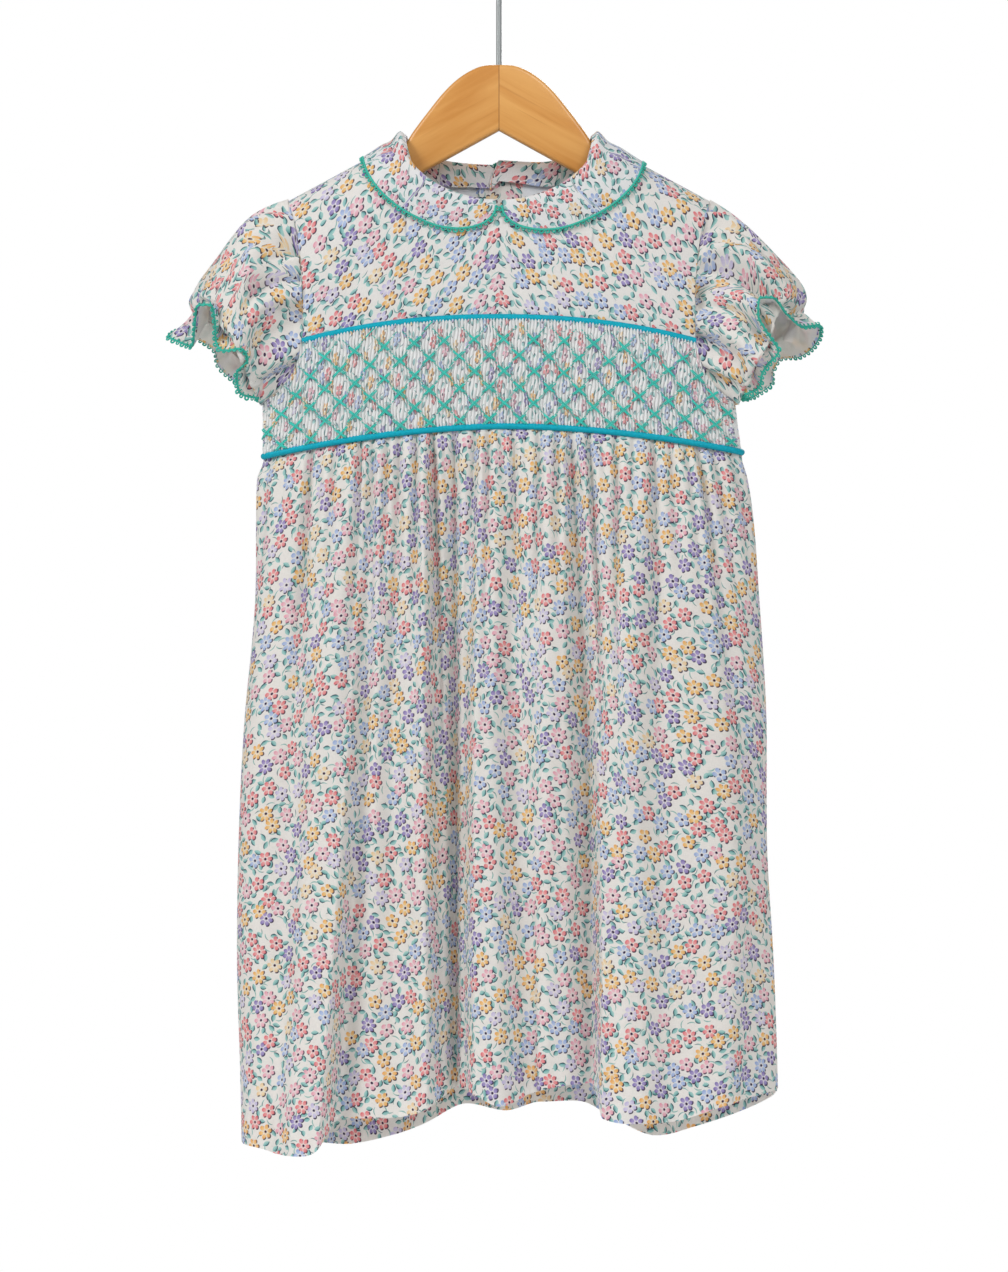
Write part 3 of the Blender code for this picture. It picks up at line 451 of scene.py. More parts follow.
def shell(name, face, plan, thickness, finishes, closed=False, turned=False, inside=None, lining=None):
    """A closed wall of cloth: its outer face, the same face moved inwards, and the rims between them.

    inside gives each inner face's place in finishes, from its row and column, and is 1 everywhere if left out.
    lining is the inner face where it is plainer than the outer one.
    """
    rows, columns = face.shape[:2]
    inner = face - thickness * outward(face, closed, turned) if lining is None else lining
    across = columns if closed else columns - 1
    row, column = np.meshgrid(np.arange(rows - 1), np.arange(across), indexing="ij")
    row, column = row.ravel(), column.ravel()
    after = (column + 1) % columns
    quad = np.stack([row * columns + column, row * columns + after, (row + 1) * columns + after, (row + 1) * columns + column], 1)
    wide = plan.shape[1]
    spot = np.stack([row * wide + column, row * wide + column + 1, (row + 1) * wide + column + 1, (row + 1) * wide + column], 1)
    count = rows * columns
    quads, spots, slots = [], [], []
    outer_quad, outer_spot = (quad, spot) if not turned else (quad[:, ::-1], spot[:, ::-1])
    quads += [outer_quad[:, ::-1], outer_quad + count]
    spots += [outer_spot[:, ::-1], outer_spot]
    slots += [np.zeros(len(quad), int), np.ones(len(quad), int) if inside is None else inside(row, column)]
    edges = [(quad[:across, :2], spot[:across, :2], False), (quad[-across:, 2:], spot[-across:, 2:], False)]
    if not closed:
        edges += [(quad[::across][:, [3, 0]], spot[::across][:, [3, 0]], False)]
        edges += [(quad[across - 1 :: across][:, [1, 2]], spot[across - 1 :: across][:, [1, 2]], False)]
    for edge, place, _ in edges:
        rim = np.stack([edge[:, 0], edge[:, 1], edge[:, 1] + count, edge[:, 0] + count], 1)
        flat = np.stack([place[:, 0], place[:, 1], place[:, 1], place[:, 0]], 1)
        quads.append(rim[:, ::-1] if turned else rim)
        spots.append(flat[:, ::-1] if turned else flat)
        slots.append(np.zeros(len(rim), int))
    quads, spots, slots = np.concatenate(quads), np.concatenate(spots), np.concatenate(slots)
    points = 0.001 * np.concatenate([face.reshape(-1, 3), inner.reshape(-1, 3)])
    mesh = bpy.data.meshes.new(name)
    mesh.from_pydata(points.tolist(), [], quads.tolist())
    chart = mesh.uv_layers.new(name="plan")
    chart.data.foreach_set("uv", plan.reshape(-1, 2)[spots.ravel()].astype(np.float32).ravel())
    for finish in finishes:
        mesh.materials.append(finish)
    mesh.polygons.foreach_set("material_index", slots.astype(np.int32))
    mesh.shade_smooth()
    mesh.set_sharp_from_angle(angle=math.radians(60))
    return placed(name, mesh)


def placed(name, data):
    made = bpy.data.objects.new(name, data)
    bpy.context.scene.collection.objects.link(made)
    return made


def worn(piece, slot, *nodes):
    """Puts a piece on the one body, and hides the nodes that it stands for. slot is not used."""
    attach(piece, "root")
    if nodes:
        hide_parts(*nodes)
    return piece


def line_mesh(name, lines, closed=False, **attributes):
    """Vertices and edges along lines, each an array of points, with vector attributes for the node trees."""
    starts = np.cumsum([0] + [len(line) for line in lines])
    edges = []
    for start, line in zip(starts, lines, strict=False):
        edges += [(start + step, start + step + 1) for step in range(len(line) - 1)]
        if closed:
            edges.append((start + len(line) - 1, start))
    mesh = bpy.data.meshes.new(name)
    mesh.from_pydata((0.001 * np.concatenate(lines)).tolist(), np.array(edges).tolist(), [])
    for label, values in attributes.items():
        mesh.attributes.new(label, "FLOAT_VECTOR", "POINT").data.foreach_set("vector", np.ravel(values))
    return mesh


# Node trees.


def add_node(tree, kind, settings=None, inputs=None):
    """Adds a node with its settings. An input's value is a socket to link, or what the input is set to."""
    made = tree.nodes.new(kind)
    for label, value in (settings or {}).items():
        setattr(made, label, value)
    for label, value in (inputs or {}).items():
        if isinstance(value, bpy.types.NodeSocket):
            tree.links.new(value, made.inputs[label])
        else:
            made.inputs[label].default_value = value
    return made


def new_tree(name, kind, sockets):
    """A node group with its inputs and outputs: (label, in or out, socket kind, default)."""
    tree = bpy.data.node_groups.new(name, kind)
    for label, way, socket, default in sockets:
        made = tree.interface.new_socket(name=label, in_out=way, socket_type=socket)
        if default is not None:
            made.default_value = default
    return tree


def tube_tree():
    """A round cord along each line of edges, closed with flat caps at its ends."""
    if "cord_along_lines" in bpy.data.node_groups:
        return bpy.data.node_groups["cord_along_lines"]
    tree = new_tree(
        "cord_along_lines",
        "GeometryNodeTree",
        [
            ("Geometry", "OUTPUT", "NodeSocketGeometry", None),
            ("Geometry", "INPUT", "NodeSocketGeometry", None),
            ("Radius", "INPUT", "NodeSocketFloat", 0.001),
            ("Sides", "INPUT", "NodeSocketInt", 8),
            ("Finish", "INPUT", "NodeSocketMaterial", None),
        ],
    )
    given = add_node(tree, "NodeGroupInput")
    curve = add_node(tree, "GeometryNodeMeshToCurve", inputs={"Mesh": given.outputs["Geometry"]})
    ring = add_node(
        tree,
        "GeometryNodeCurvePrimitiveCircle",
        inputs={"Resolution": given.outputs["Sides"], "Radius": given.outputs["Radius"]},
    )
    body = add_node(
        tree,
        "GeometryNodeCurveToMesh",
        inputs={"Curve": curve.outputs["Curve"], "Profile Curve": ring.outputs["Curve"], "Fill Caps": True},
    )
    real = add_node(tree, "GeometryNodeRealizeInstances", inputs={"Geometry": body.outputs["Mesh"]})
    smooth = add_node(tree, "GeometryNodeSetShadeSmooth", inputs={"Geometry": real.outputs["Geometry"]})
    done = add_node(
        tree,
        "GeometryNodeSetMaterial",
        inputs={"Geometry": smooth.outputs["Geometry"], "Material": given.outputs["Finish"]},
    )
    add_node(tree, "NodeGroupOutput", inputs={"Geometry": done.outputs["Geometry"]})
    return tree


def picot_tree():
    """A small open loop of thread at each point, turned by the point's own tangent and outward direction."""
    if "picot_loops" in bpy.data.node_groups:
        return bpy.data.node_groups["picot_loops"]
    tree = new_tree(
        "picot_loops",
        "GeometryNodeTree",
        [
            ("Geometry", "OUTPUT", "NodeSocketGeometry", None),
            ("Geometry", "INPUT", "NodeSocketGeometry", None),
            ("Loop Radius", "INPUT", "NodeSocketFloat", 0.001),
            ("Thread Radius", "INPUT", "NodeSocketFloat", 0.0004),
            ("Unevenness", "INPUT", "NodeSocketFloat", 0.2),
            ("Seed", "INPUT", "NodeSocketInt", 4),
            ("Finish", "INPUT", "NodeSocketMaterial", None),
        ],
    )
    given = add_node(tree, "NodeGroupInput")
    arc = add_node(
        tree,
        "GeometryNodeCurveArc",
        {"mode": "RADIUS"},
        {
            "Resolution": 9,
            "Radius": given.outputs["Loop Radius"],
            "Start Angle": math.radians(-40),
            "Sweep Angle": math.radians(260),
        },
    )
    ring = add_node(
        tree,
        "GeometryNodeCurvePrimitiveCircle",
        inputs={"Resolution": 5, "Radius": given.outputs["Thread Radius"]},
    )
    loop = add_node(
        tree,
        "GeometryNodeCurveToMesh",
        inputs={"Curve": arc.outputs["Curve"], "Profile Curve": ring.outputs["Curve"], "Fill Caps": True},
    )
    ways = [
        add_node(tree, "GeometryNodeInputNamedAttribute", {"data_type": "FLOAT_VECTOR"}, {"Name": label})
        for label in ("tangent", "beyond")
    ]
    turn = add_node(
        tree,
        "FunctionNodeAxesToRotation",
        {"primary_axis": "X", "secondary_axis": "Y"},
        {"Primary Axis": ways[0].outputs["Attribute"], "Secondary Axis": ways[1].outputs["Attribute"]},
    )
    least = add_node(tree, "ShaderNodeMath", {"operation": "SUBTRACT"}, {0: 1.0, 1: given.outputs["Unevenness"]})
    most = add_node(tree, "ShaderNodeMath", {"operation": "ADD"}, {0: 1.0, 1: given.outputs["Unevenness"]})
    size = add_node(
        tree,
        "FunctionNodeRandomValue",
        {"data_type": "FLOAT"},
        {2: least.outputs[0], 3: most.outputs[0], "Seed": given.outputs["Seed"]},
    )
    spread = add_node(
        tree,
        "GeometryNodeInstanceOnPoints",
        inputs={
            "Points": given.outputs["Geometry"],
            "Instance": loop.outputs["Mesh"],
            "Rotation": turn.outputs["Rotation"],
            "Scale": size.outputs[1],
        },
    )
    real = add_node(tree, "GeometryNodeRealizeInstances", inputs={"Geometry": spread.outputs["Instances"]})
    smooth = add_node(tree, "GeometryNodeSetShadeSmooth", inputs={"Geometry": real.outputs["Geometry"]})
    done = add_node(
        tree,
        "GeometryNodeSetMaterial",
        inputs={"Geometry": smooth.outputs["Geometry"], "Material": given.outputs["Finish"]},
    )
    add_node(tree, "NodeGroupOutput", inputs={"Geometry": done.outputs["Geometry"]})
    return tree


def grown(name, mesh, tree, values):
    """A plain mesh object of what a node tree makes of a mesh. Inputs are set by identifier before it is evaluated."""
    made = bpy.data.objects.new(name, mesh)
    builder = made.modifiers.new("build", "NODES")
    builder.node_group = tree
    for item in tree.interface.items_tree:
        if item.in_out == "INPUT" and item.name in values:
            builder[item.identifier] = values[item.name]
    bpy.context.scene.collection.objects.link(made)
    whole = bpy.data.meshes.new_from_object(made.evaluated_get(bpy.context.evaluated_depsgraph_get()))
    made.modifiers.remove(builder)
    made.data = whole
    return made


def cord_piece(name, lines, radius, finish, sides=8, closed=False):
    """A cord of the given radius in millimetres along lines of points."""
    values = {"Radius": 0.001 * radius, "Sides": sides, "Finish": finish}
    return grown(name, line_mesh(name, lines, closed), tube_tree(), values)


# Materials.


def new_material(name):
    """A material with its tree and its shader."""
    made = bpy.data.materials.new(name)
    made.use_nodes = True
    tree = made.node_tree
    return made, tree, tree.nodes["Principled BSDF"]


def print_tree():
    """A ditsy print of small flowers and leaves, laid out on the cloth's plan in millimetres."""
    if "ditsy_print" in bpy.data.node_groups:
        return bpy.data.node_groups["ditsy_print"]
    tree = new_tree(
        "ditsy_print",
        "ShaderNodeTree",
        [
            ("Color", "OUTPUT", "NodeSocketColor", None),
            ("Plan", "INPUT", "NodeSocketVector", None),
            ("Ground", "INPUT", "NodeSocketColor", linear("F4F0E8")),
            ("Spacing", "INPUT", "NodeSocketFloat", 11.0),
            ("Strength", "INPUT", "NodeSocketFloat", 1.0),
        ],
    )
    given = add_node(tree, "NodeGroupInput")
    ground = given.outputs["Ground"]

    def calc(operation, *values):
        return add_node(tree, "ShaderNodeMath", {"operation": operation}, dict(enumerate(values))).outputs[0]

    def soft(edge, width=0.1):
        """1 where edge is above 0, and 0 where it is below, over a blurred width in millimetres."""
        return add_node(
            tree, "ShaderNodeMapRange", inputs={"Value": edge, "From Min": -0.5 * width, "From Max": 0.5 * width}
        ).outputs[0]

    def over(share, below, above):
        return add_node(tree, "ShaderNodeMix", {"data_type": "RGBA"}, {0: share, 6: below, 7: above}).outputs[2]

    def cells(place, scale, looseness):
        """The nearest cell's middle, how far off it is, and three chances."""
        made = add_node(
            tree,
            "ShaderNodeTexVoronoi",
            {"voronoi_dimensions": "2D", "feature": "F1"},
            {"Vector": place, "Scale": scale, "Randomness": looseness},
        )
        chance = add_node(tree, "ShaderNodeSeparateColor", inputs={0: made.outputs["Color"]})
        return made.outputs["Position"], calc("DIVIDE", made.outputs["Distance"], scale), chance.outputs

    def motif(middle, chance):
        """A place within a motif: along and across it, after its own turn."""
        off = add_node(tree, "ShaderNodeVectorMath", {"operation": "SUBTRACT"}, {0: layout, 1: middle})
        x, y = add_node(tree, "ShaderNodeSeparateXYZ", inputs={0: off.outputs[0]}).outputs[:2]
        cosine, sine = (calc(name, calc("MULTIPLY", chance, 2 * math.pi)) for name in ("COSINE", "SINE"))
        along = calc("ADD", calc("MULTIPLY", x, cosine), calc("MULTIPLY", y, sine))
        across = calc("SUBTRACT", calc("MULTIPLY", y, cosine), calc("MULTIPLY", x, sine))
        return x, y, along, across

    # The layout is turned, so that its rows don't follow the cloth's.
    layout = add_node(
        tree, "ShaderNodeMapping", inputs={"Vector": given.outputs["Plan"], "Rotation": (0.0, 0.0, math.radians(27))}
    ).outputs[0]
    density = calc("DIVIDE", 1.0, given.outputs["Spacing"])

    def clear_of_flowers(middle, room):
        """1 where a motif's middle keeps its distance from the nearest flower's."""
        distance = cells(middle, density, FLOWER_LOOSENESS)[1]
        return calc("GREATER_THAN", distance, room)

    # Loose strokes: tapered arcs, half of them dark.
    middle, _, chance = cells(layout, calc("MULTIPLY", density, 1.75), 0.85)
    _, _, along, across = motif(middle, chance[1])
    bow = calc("ABSOLUTE", calc("ADD", across, calc("MULTIPLY", calc("MULTIPLY", along, along), 0.13)))
    width = calc("MULTIPLY_ADD", calc("MULTIPLY", along, along), -0.045, 0.36)
    stroke = calc("MULTIPLY", soft(calc("SUBTRACT", width, bow)), clear_of_flowers(middle, 4.4))
    dark = over(soft(calc("SUBTRACT", along, calc("MULTIPLY", chance[0], 3.0)), 2.0), linear("8FC2BC"), linear("3C5F6C"))
    colour = over(calc("MULTIPLY", stroke, 0.9), ground, dark)

    # Leaves: pointed ovals, shaded to one side, with a dark crescent along that side.
    middle, _, chance = cells(layout, calc("MULTIPLY", density, 2.15), 0.62)
    x, y, along, across = motif(middle, chance[0])
    half_long = calc("MULTIPLY_ADD", chance[1], 0.7, 2.1)
    bend = calc("DIVIDE", along, half_long)
    rim = calc("MULTIPLY", calc("SUBTRACT", 1.0, calc("MULTIPLY", bend, bend)), LEAF_HALF_WIDTH)
    inside = calc("SUBTRACT", rim, calc("ABSOLUTE", across))
    present = calc("MULTIPLY", calc("GREATER_THAN", chance[2], 0.1), clear_of_flowers(middle, 4.6))
    shaded = soft(across, 1.1)
    green = over(shaded, linear("AFDAD6"), linear("79B6B5"))
    colour = over(calc("MULTIPLY", soft(inside), present), colour, green)
    crescent = calc("MULTIPLY", soft(calc("SUBTRACT", 0.55, inside)), soft(calc("ADD", inside, 0.05)))
    crescent = calc("MULTIPLY", crescent, calc("GREATER_THAN", across, 0.0))
    crescent = calc("MULTIPLY", crescent, soft(calc("ADD", along, 1.2), 1.0))
    colour = over(calc("MULTIPLY", crescent, present), colour, linear("305562"))

    # Flowers: separate rounded petals, each with a dark edge on its lower right, round a pale heart and a dark dot.
    middle, distance, chance = cells(layout, density, FLOWER_LOOSENESS)
    x, y, along, across = motif(middle, chance[1])
    petals = calc("FLOOR", calc("MULTIPLY_ADD", chance[2], 2.3, 5.35))
    sector = calc("DIVIDE", 2 * math.pi, petals)
    turn = calc("ARCTAN2", across, along)
    petal_turn = calc("MULTIPLY", calc("ROUND", calc("DIVIDE", turn, sector)), sector)
    cosine, sine = calc("COSINE", petal_turn), calc("SINE", petal_turn)
    size = calc("MULTIPLY_ADD", chance[2], 0.8, 4.25)
    from_base = calc("ADD", calc("MULTIPLY", along, cosine), calc("MULTIPLY", across, sine))
    beside = calc("SUBTRACT", calc("MULTIPLY", across, cosine), calc("MULTIPLY", along, sine))
    outwards = calc("DIVIDE", calc("SUBTRACT", from_base, calc("MULTIPLY", size, 0.64)), calc("MULTIPLY", size, 0.33))
    half_width = calc("DIVIDE", calc("MULTIPLY", size, 1.62), petals)
    sideways = calc("DIVIDE", beside, half_width)
    reach = calc("SQRT", calc("ADD", calc("MULTIPLY", outwards, outwards), calc("MULTIPLY", sideways, sideways)))
    petal = soft(calc("SUBTRACT", 1.0, reach), 0.14)
    kinds = []
    for part in (1, 2):
        ramp = add_node(tree, "ShaderNodeValToRGB", inputs={0: chance[0]})
        ramp.color_ramp.interpolation = "CONSTANT"
        ramp.color_ramp.elements.remove(ramp.color_ramp.elements[-1])
        for number, row in enumerate(PETALS):
            stop = ramp.color_ramp.elements[0] if number == 0 else ramp.color_ramp.elements.new(row[0])
            stop.color = linear(row[part])
        kinds.append(ramp.outputs["Color"])
    tint = over(soft(calc("SUBTRACT", 0.1, outwards), 1.4), kinds[0], kinds[1])
    colour = over(petal, colour, tint)
    # The dark edge follows each petal's rim, where the rim faces the way that the light leaves.
    centre_x = calc("MULTIPLY", calc("MULTIPLY", size, 0.64), cosine)
    centre_y = calc("MULTIPLY", calc("MULTIPLY", size, 0.64), sine)
    spin = calc("MULTIPLY", chance[1], 2 * math.pi)
    shade_x, shade_y = (calc(name, calc("SUBTRACT", 1.15, spin)) for name in ("COSINE", "SINE"))
    facing = calc(
        "ADD",
        calc("MULTIPLY", calc("SUBTRACT", along, centre_x), shade_x),
        calc("MULTIPLY", calc("SUBTRACT", across, centre_y), shade_y),
    )
    edge = calc("MULTIPLY", soft(calc("SUBTRACT", reach, 0.76), 0.1), soft(calc("SUBTRACT", 1.3, reach), 0.1))
    edge = calc("MULTIPLY", edge, soft(calc("SUBTRACT", facing, 0.25), 0.3))
    edge = calc("MULTIPLY", edge, soft(outwards, 0.4))
    colour = over(calc("MULTIPLY", edge, 0.95), colour, linear("44374F"))
    heart = calc("SQRT", calc("ADD", calc("POWER", calc("SUBTRACT", x, 0.25), 2.0), calc("POWER", y, 2.0)))
    colour = over(soft(calc("SUBTRACT", 1.15, distance), 0.3), colour, over(0.6, ground, kinds[1]))
    colour = over(soft(calc("SUBTRACT", 0.78, heart), 0.12), colour, linear("43334F"))
    colour = over(given.outputs["Strength"], ground, colour)
    add_node(tree, "NodeGroupOutput", inputs={"Color": colour})
    return tree


def cotton_relief(tree, plan, depth):
    """Bump of a plain weave: uneven threads both ways, drawn three times too coarse so that they show."""
    threads = []
    for stretch in ((3.2, 0.35, 1.0), (0.35, 3.2, 1.0)):
        turned = add_node(tree, "ShaderNodeMapping", inputs={"Vector": plan, "Scale": stretch})
        threads.append(
            add_node(
                tree,
                "ShaderNodeTexNoise",
                {"noise_dimensions": "2D"},
                {"Vector": turned.outputs[0], "Scale": 1.0, "Detail": 2.0},
            ).outputs["Fac"]
        )
    both = add_node(tree, "ShaderNodeMath", {"operation": "ADD"}, {0: threads[0], 1: threads[1]})
    bump = add_node(tree, "ShaderNodeBump", inputs={"Height": both.outputs[0], "Strength": 0.5, "Distance": depth})
    return both.outputs[0], bump.outputs["Normal"]


def see_through(tree, shader, colour, normal):
    """Lets part of the light through the cloth, so that its inside is bright where the outside is lit."""
    glow = add_node(tree, "ShaderNodeBsdfTranslucent", inputs={"Color": colour, "Normal": normal})
    both = add_node(tree, "ShaderNodeMixShader", inputs={0: THROUGH, 1: shader.outputs[0], 2: glow.outputs[0]})
    tree.links.new(both.outputs[0], tree.nodes["Material Output"].inputs["Surface"])


def printed_cotton(name, ground, spacing, strength=1.0):
    """Plain-weave cotton with a rotary print: matt, with a faint bloom of fibre ends at glancing angles."""
    made, tree, shader = new_material(name)
    plan = add_node(tree, "ShaderNodeUVMap", {"uv_map": "plan"}).outputs[0]
    inputs = {"Plan": plan, "Ground": ground, "Spacing": spacing, "Strength": strength}
    pattern = add_node(tree, "ShaderNodeGroup", {"node_tree": print_tree()}, inputs)
    weave, normal = cotton_relief(tree, plan, 0.00022)
    tone = add_node(tree, "ShaderNodeMapRange", inputs={"Value": weave, "From Min": 0.6, "From Max": 1.4, "To Min": 0.93, "To Max": 1.05})
    shade = add_node(
        tree, "ShaderNodeVectorMath", {"operation": "SCALE"}, {0: pattern.outputs["Color"], "Scale": tone.outputs[0]}
    )
    tree.links.new(shade.outputs[0], shader.inputs["Base Color"])
    tree.links.new(normal, shader.inputs["Normal"])
    see_through(tree, shader, shade.outputs[0], normal)
    shader.inputs["Roughness"].default_value = 0.82
    shader.inputs["IOR"].default_value = 1.47
    shader.inputs["Specular IOR Level"].default_value = 0.25
    shader.inputs["Sheen Weight"].default_value = 0.08
    return made


def plain_cotton(name, colour):
    """Unprinted side of the cotton: the same weave, and a little duller than the face."""
    made, tree, shader = new_material(name)
    plan = add_node(tree, "ShaderNodeUVMap", {"uv_map": "plan"}).outputs[0]
    weave, normal = cotton_relief(tree, plan, 0.00022)
    tone = add_node(tree, "ShaderNodeMapRange", inputs={"Value": weave, "From Min": 0.6, "From Max": 1.4, "To Min": 0.94, "To Max": 1.04})
    shade = add_node(tree, "ShaderNodeVectorMath", {"operation": "SCALE"}, {0: colour[:3], "Scale": tone.outputs[0]})
    tree.links.new(shade.outputs[0], shader.inputs["Base Color"])
    tree.links.new(normal, shader.inputs["Normal"])
    see_through(tree, shader, shade.outputs[0], normal)
    shader.inputs["Roughness"].default_value = 0.9
    shader.inputs["Specular IOR Level"].default_value = 0.2
    return made


def spun_thread(name, colour, twist, roughness):
    """Mercerised cotton yarn or bias strip: fine slanted ridges that catch a soft light, and a random mottle of painted
    light and shade.
    """
    made, tree, shader = new_material(name)
    where = add_node(tree, "ShaderNodeTexCoord").outputs["Object"]
    ridges = add_node(
        tree,
        "ShaderNodeTexWave",
        {"bands_direction": "DIAGONAL"},
        {"Vector": where, "Scale": twist, "Distortion": 2.0, "Detail": 2.0},
    )
    # Painted light and shade: a noise mottle darkens and brightens the thread's colour, standing in for its shading.
    painted_shade_mottle = add_node(tree, "ShaderNodeTexNoise", inputs={"Vector": where, "Scale": 900.0, "Detail": 2.0})
    depth = add_node(tree, "ShaderNodeMapRange", inputs={"Value": painted_shade_mottle.outputs["Fac"], "To Min": 0.6, "To Max": 1.25})
    shade = add_node(tree, "ShaderNodeVectorMath", {"operation": "SCALE"}, {0: colour[:3], "Scale": depth.outputs[0]})
    bump = add_node(tree, "ShaderNodeBump", inputs={"Height": ridges.outputs["Fac"], "Strength": 0.4, "Distance": 0.0002})
    tree.links.new(shade.outputs[0], shader.inputs["Base Color"])
    tree.links.new(bump.outputs[0], shader.inputs["Normal"])
    shader.inputs["Roughness"].default_value = roughness
    shader.inputs["Specular IOR Level"].default_value = 0.2
    return made


def varnished_beech(name, light, dark, side):
    """Beech under satin varnish: pale and honey streaks along the arm, darker pores, and a dark line at the joint,
    partly end grain that soaks up the varnish and partly painted shade in the joint's gap.
    """
    made, tree, shader = new_material(name)
    where = add_node(tree, "ShaderNodeTexCoord").outputs["Object"]
    slope = side * math.atan(SHOULDER_SLOPE)
    along = add_node(tree, "ShaderNodeMapping", inputs={"Vector": where, "Rotation": (0.0, -slope, 0.0)}).outputs[0]
    layers = []
    for scale, detail, bend in (((9.0, 60.0, 110.0), 5.0, 0.6), ((20.0, 380.0, 620.0), 4.0, 0.3)):
        stretched = add_node(tree, "ShaderNodeMapping", inputs={"Vector": along, "Scale": scale})
        layers.append(
            add_node(
                tree,
                "ShaderNodeTexNoise",
                inputs={"Vector": stretched.outputs[0], "Scale": 1.0, "Detail": detail, "Distortion": bend},
            ).outputs["Fac"]
        )
    streaks = add_node(tree, "ShaderNodeMapRange", inputs={"Value": layers[0], "From Min": 0.35, "From Max": 0.68})
    base = add_node(tree, "ShaderNodeMix", {"data_type": "RGBA"}, {0: streaks.outputs[0], 6: light, 7: dark})
    pores = add_node(tree, "ShaderNodeMapRange", inputs={"Value": layers[1], "From Min": 0.6, "From Max": 0.75, "To Max": 0.35})
    tone = add_node(tree, "ShaderNodeMix", {"data_type": "RGBA"}, {0: pores.outputs[0], 6: base.outputs[2], 7: linear("A9692A")})
    # The dark line at the joint: partly end grain that soaks up the varnish, partly painted shade where the two halves
    # meet.
    from_joint = add_node(tree, "ShaderNodeSeparateXYZ", inputs={0: where}).outputs[0]
    from_joint = add_node(tree, "ShaderNodeMath", {"operation": "ABSOLUTE"}, {0: from_joint}).outputs[0]
    inputs = {"Value": from_joint, "From Min": 0.00015, "From Max": 0.0005, "To Min": 0.6, "To Max": 0.0}
    joint_glue_and_shade = add_node(tree, "ShaderNodeMapRange", inputs=inputs)
    tone = add_node(tree, "ShaderNodeMix", {"data_type": "RGBA"}, {0: joint_glue_and_shade.outputs[0], 6: tone.outputs[2], 7: linear("7A4A1C")})
    bump = add_node(tree, "ShaderNodeBump", inputs={"Height": layers[1], "Strength": 0.12, "Distance": 0.0003})
    tree.links.new(tone.outputs[2], shader.inputs["Base Color"])
    tree.links.new(bump.outputs[0], shader.inputs["Normal"])
    shader.inputs["Roughness"].default_value = 0.42
    shader.inputs["Coat Weight"].default_value = 0.35
    shader.inputs["Coat Roughness"].default_value = 0.22
    return made


def drawn_wire(name):
    """Nickel-plated drawn steel wire: bright, with faint lines from the die."""
    made, tree, shader = new_material(name)
    where = add_node(tree, "ShaderNodeTexCoord").outputs["Object"]
    stretched = add_node(tree, "ShaderNodeMapping", inputs={"Vector": where, "Scale": (2200.0, 2200.0, 60.0)})
    lines = add_node(tree, "ShaderNodeTexNoise", inputs={"Vector": stretched.outputs[0], "Scale": 1.0, "Detail": 2.0})
    gloss = add_node(tree, "ShaderNodeMapRange", inputs={"Value": lines.outputs["Fac"], "To Min": 0.2, "To Max": 0.42})
    tree.links.new(gloss.outputs[0], shader.inputs["Roughness"])
    shader.inputs["Base Color"].default_value = linear("BCC1C1")
    shader.inputs["Metallic"].default_value = 1.0
    return made


def pearl_button(name):
    """Cast polyester with a pearl filler: cloudy, glossy and slightly warm."""
    made, tree, shader = new_material(name)
    where = add_node(tree, "ShaderNodeTexCoord").outputs["Object"]
    cloud = add_node(tree, "ShaderNodeTexNoise", inputs={"Vector": where, "Scale": 320.0, "Detail": 3.0, "Distortion": 1.2})
    tone = add_node(
        tree, "ShaderNodeMix", {"data_type": "RGBA"}, {0: cloud.outputs["Fac"], 6: linear("F4F0E8"), 7: linear("D8D6D2")}
    )
    tree.links.new(tone.outputs[2], shader.inputs["Base Color"])
    shader.inputs["Roughness"].default_value = 0.22
    shader.inputs["Coat Weight"].default_value = 0.4
    return made


def finish_for(name):
    """Each material of the dress, made once from the settings."""
    if name in bpy.data.materials:
        return bpy.data.materials[name]
    dress, hanger = bpy.context.scene.smocked_dress, bpy.context.scene.dress_hanger
    spacing = 1000 * dress.flower_spacing
    if name == "printed_cotton":
        return printed_cotton(name, (*dress.ground, 1.0), spacing)
    if name == "pleated_cotton":
        # A paler copy of the printed cotton: its whiter ground and faded print are painted light on the pleats.
        return printed_cotton(name, linear(PLEAT_LIT_GROUND), PLEAT_SPACING * spacing, PLEAT_PRINT)
    if name == "collar_cotton":
        return printed_cotton(name, (*dress.collar_ground, 1.0), spacing)
    if name == "cotton_reverse":
        return plain_cotton(name, (*dress.reverse, 1.0))
    if name == "bodice_lining":
        return plain_cotton(name, (*dress.lining, 1.0))
    if name == "smocking_thread":
        return spun_thread(name, (*dress.smocking, 1.0), 700.0, 0.6)
    if name == "edging_thread":
        return spun_thread(name, (*dress.edging, 1.0), 700.0, 0.6)
    if name == "piping_cotton":
        return spun_thread(name, (*dress.piping, 1.0), 300.0, 0.55)
    if name == "button_pearl":
        return pearl_button(name)
    if name == "hook_wire":
        return drawn_wire(name)
    side = -1 if name.endswith("left") else 1
    return varnished_beech(name, (*hanger.wood_light, 1.0), (*hanger.wood_dark, 1.0), side)


# Shared lines and surfaces of the dress, in millimetres.


def shoulder_z(x):
    return SHOULDER_PEAK - SHOULDER_SLOPE * np.abs(x)


def upper_seam_z(x):
    return -237.0 - 14.0 * (np.abs(x) / UPPER_SEAM_HALF) ** 2.2


def lower_seam_z(x):
    return -302.4 - 16.0 * (np.abs(x) / CHEST_HALF) ** 1.8 + 0.012 * np.asarray(x)


def neck_z(x, back):
    return NECK_SIDE_Z - NECK_DROP[back] * np.sqrt(np.maximum(0.0, 1 - (np.asarray(x) / NECK_HALF) ** 2))


def chest_out(x, back=False):
    share = np.minimum(1.0, np.abs(x) / CHEST_HALF)
    return CHEST_DEPTH[back] * (1 - share**CHEST_ROUNDNESS) ** (1 / CHEST_ROUNDNESS)


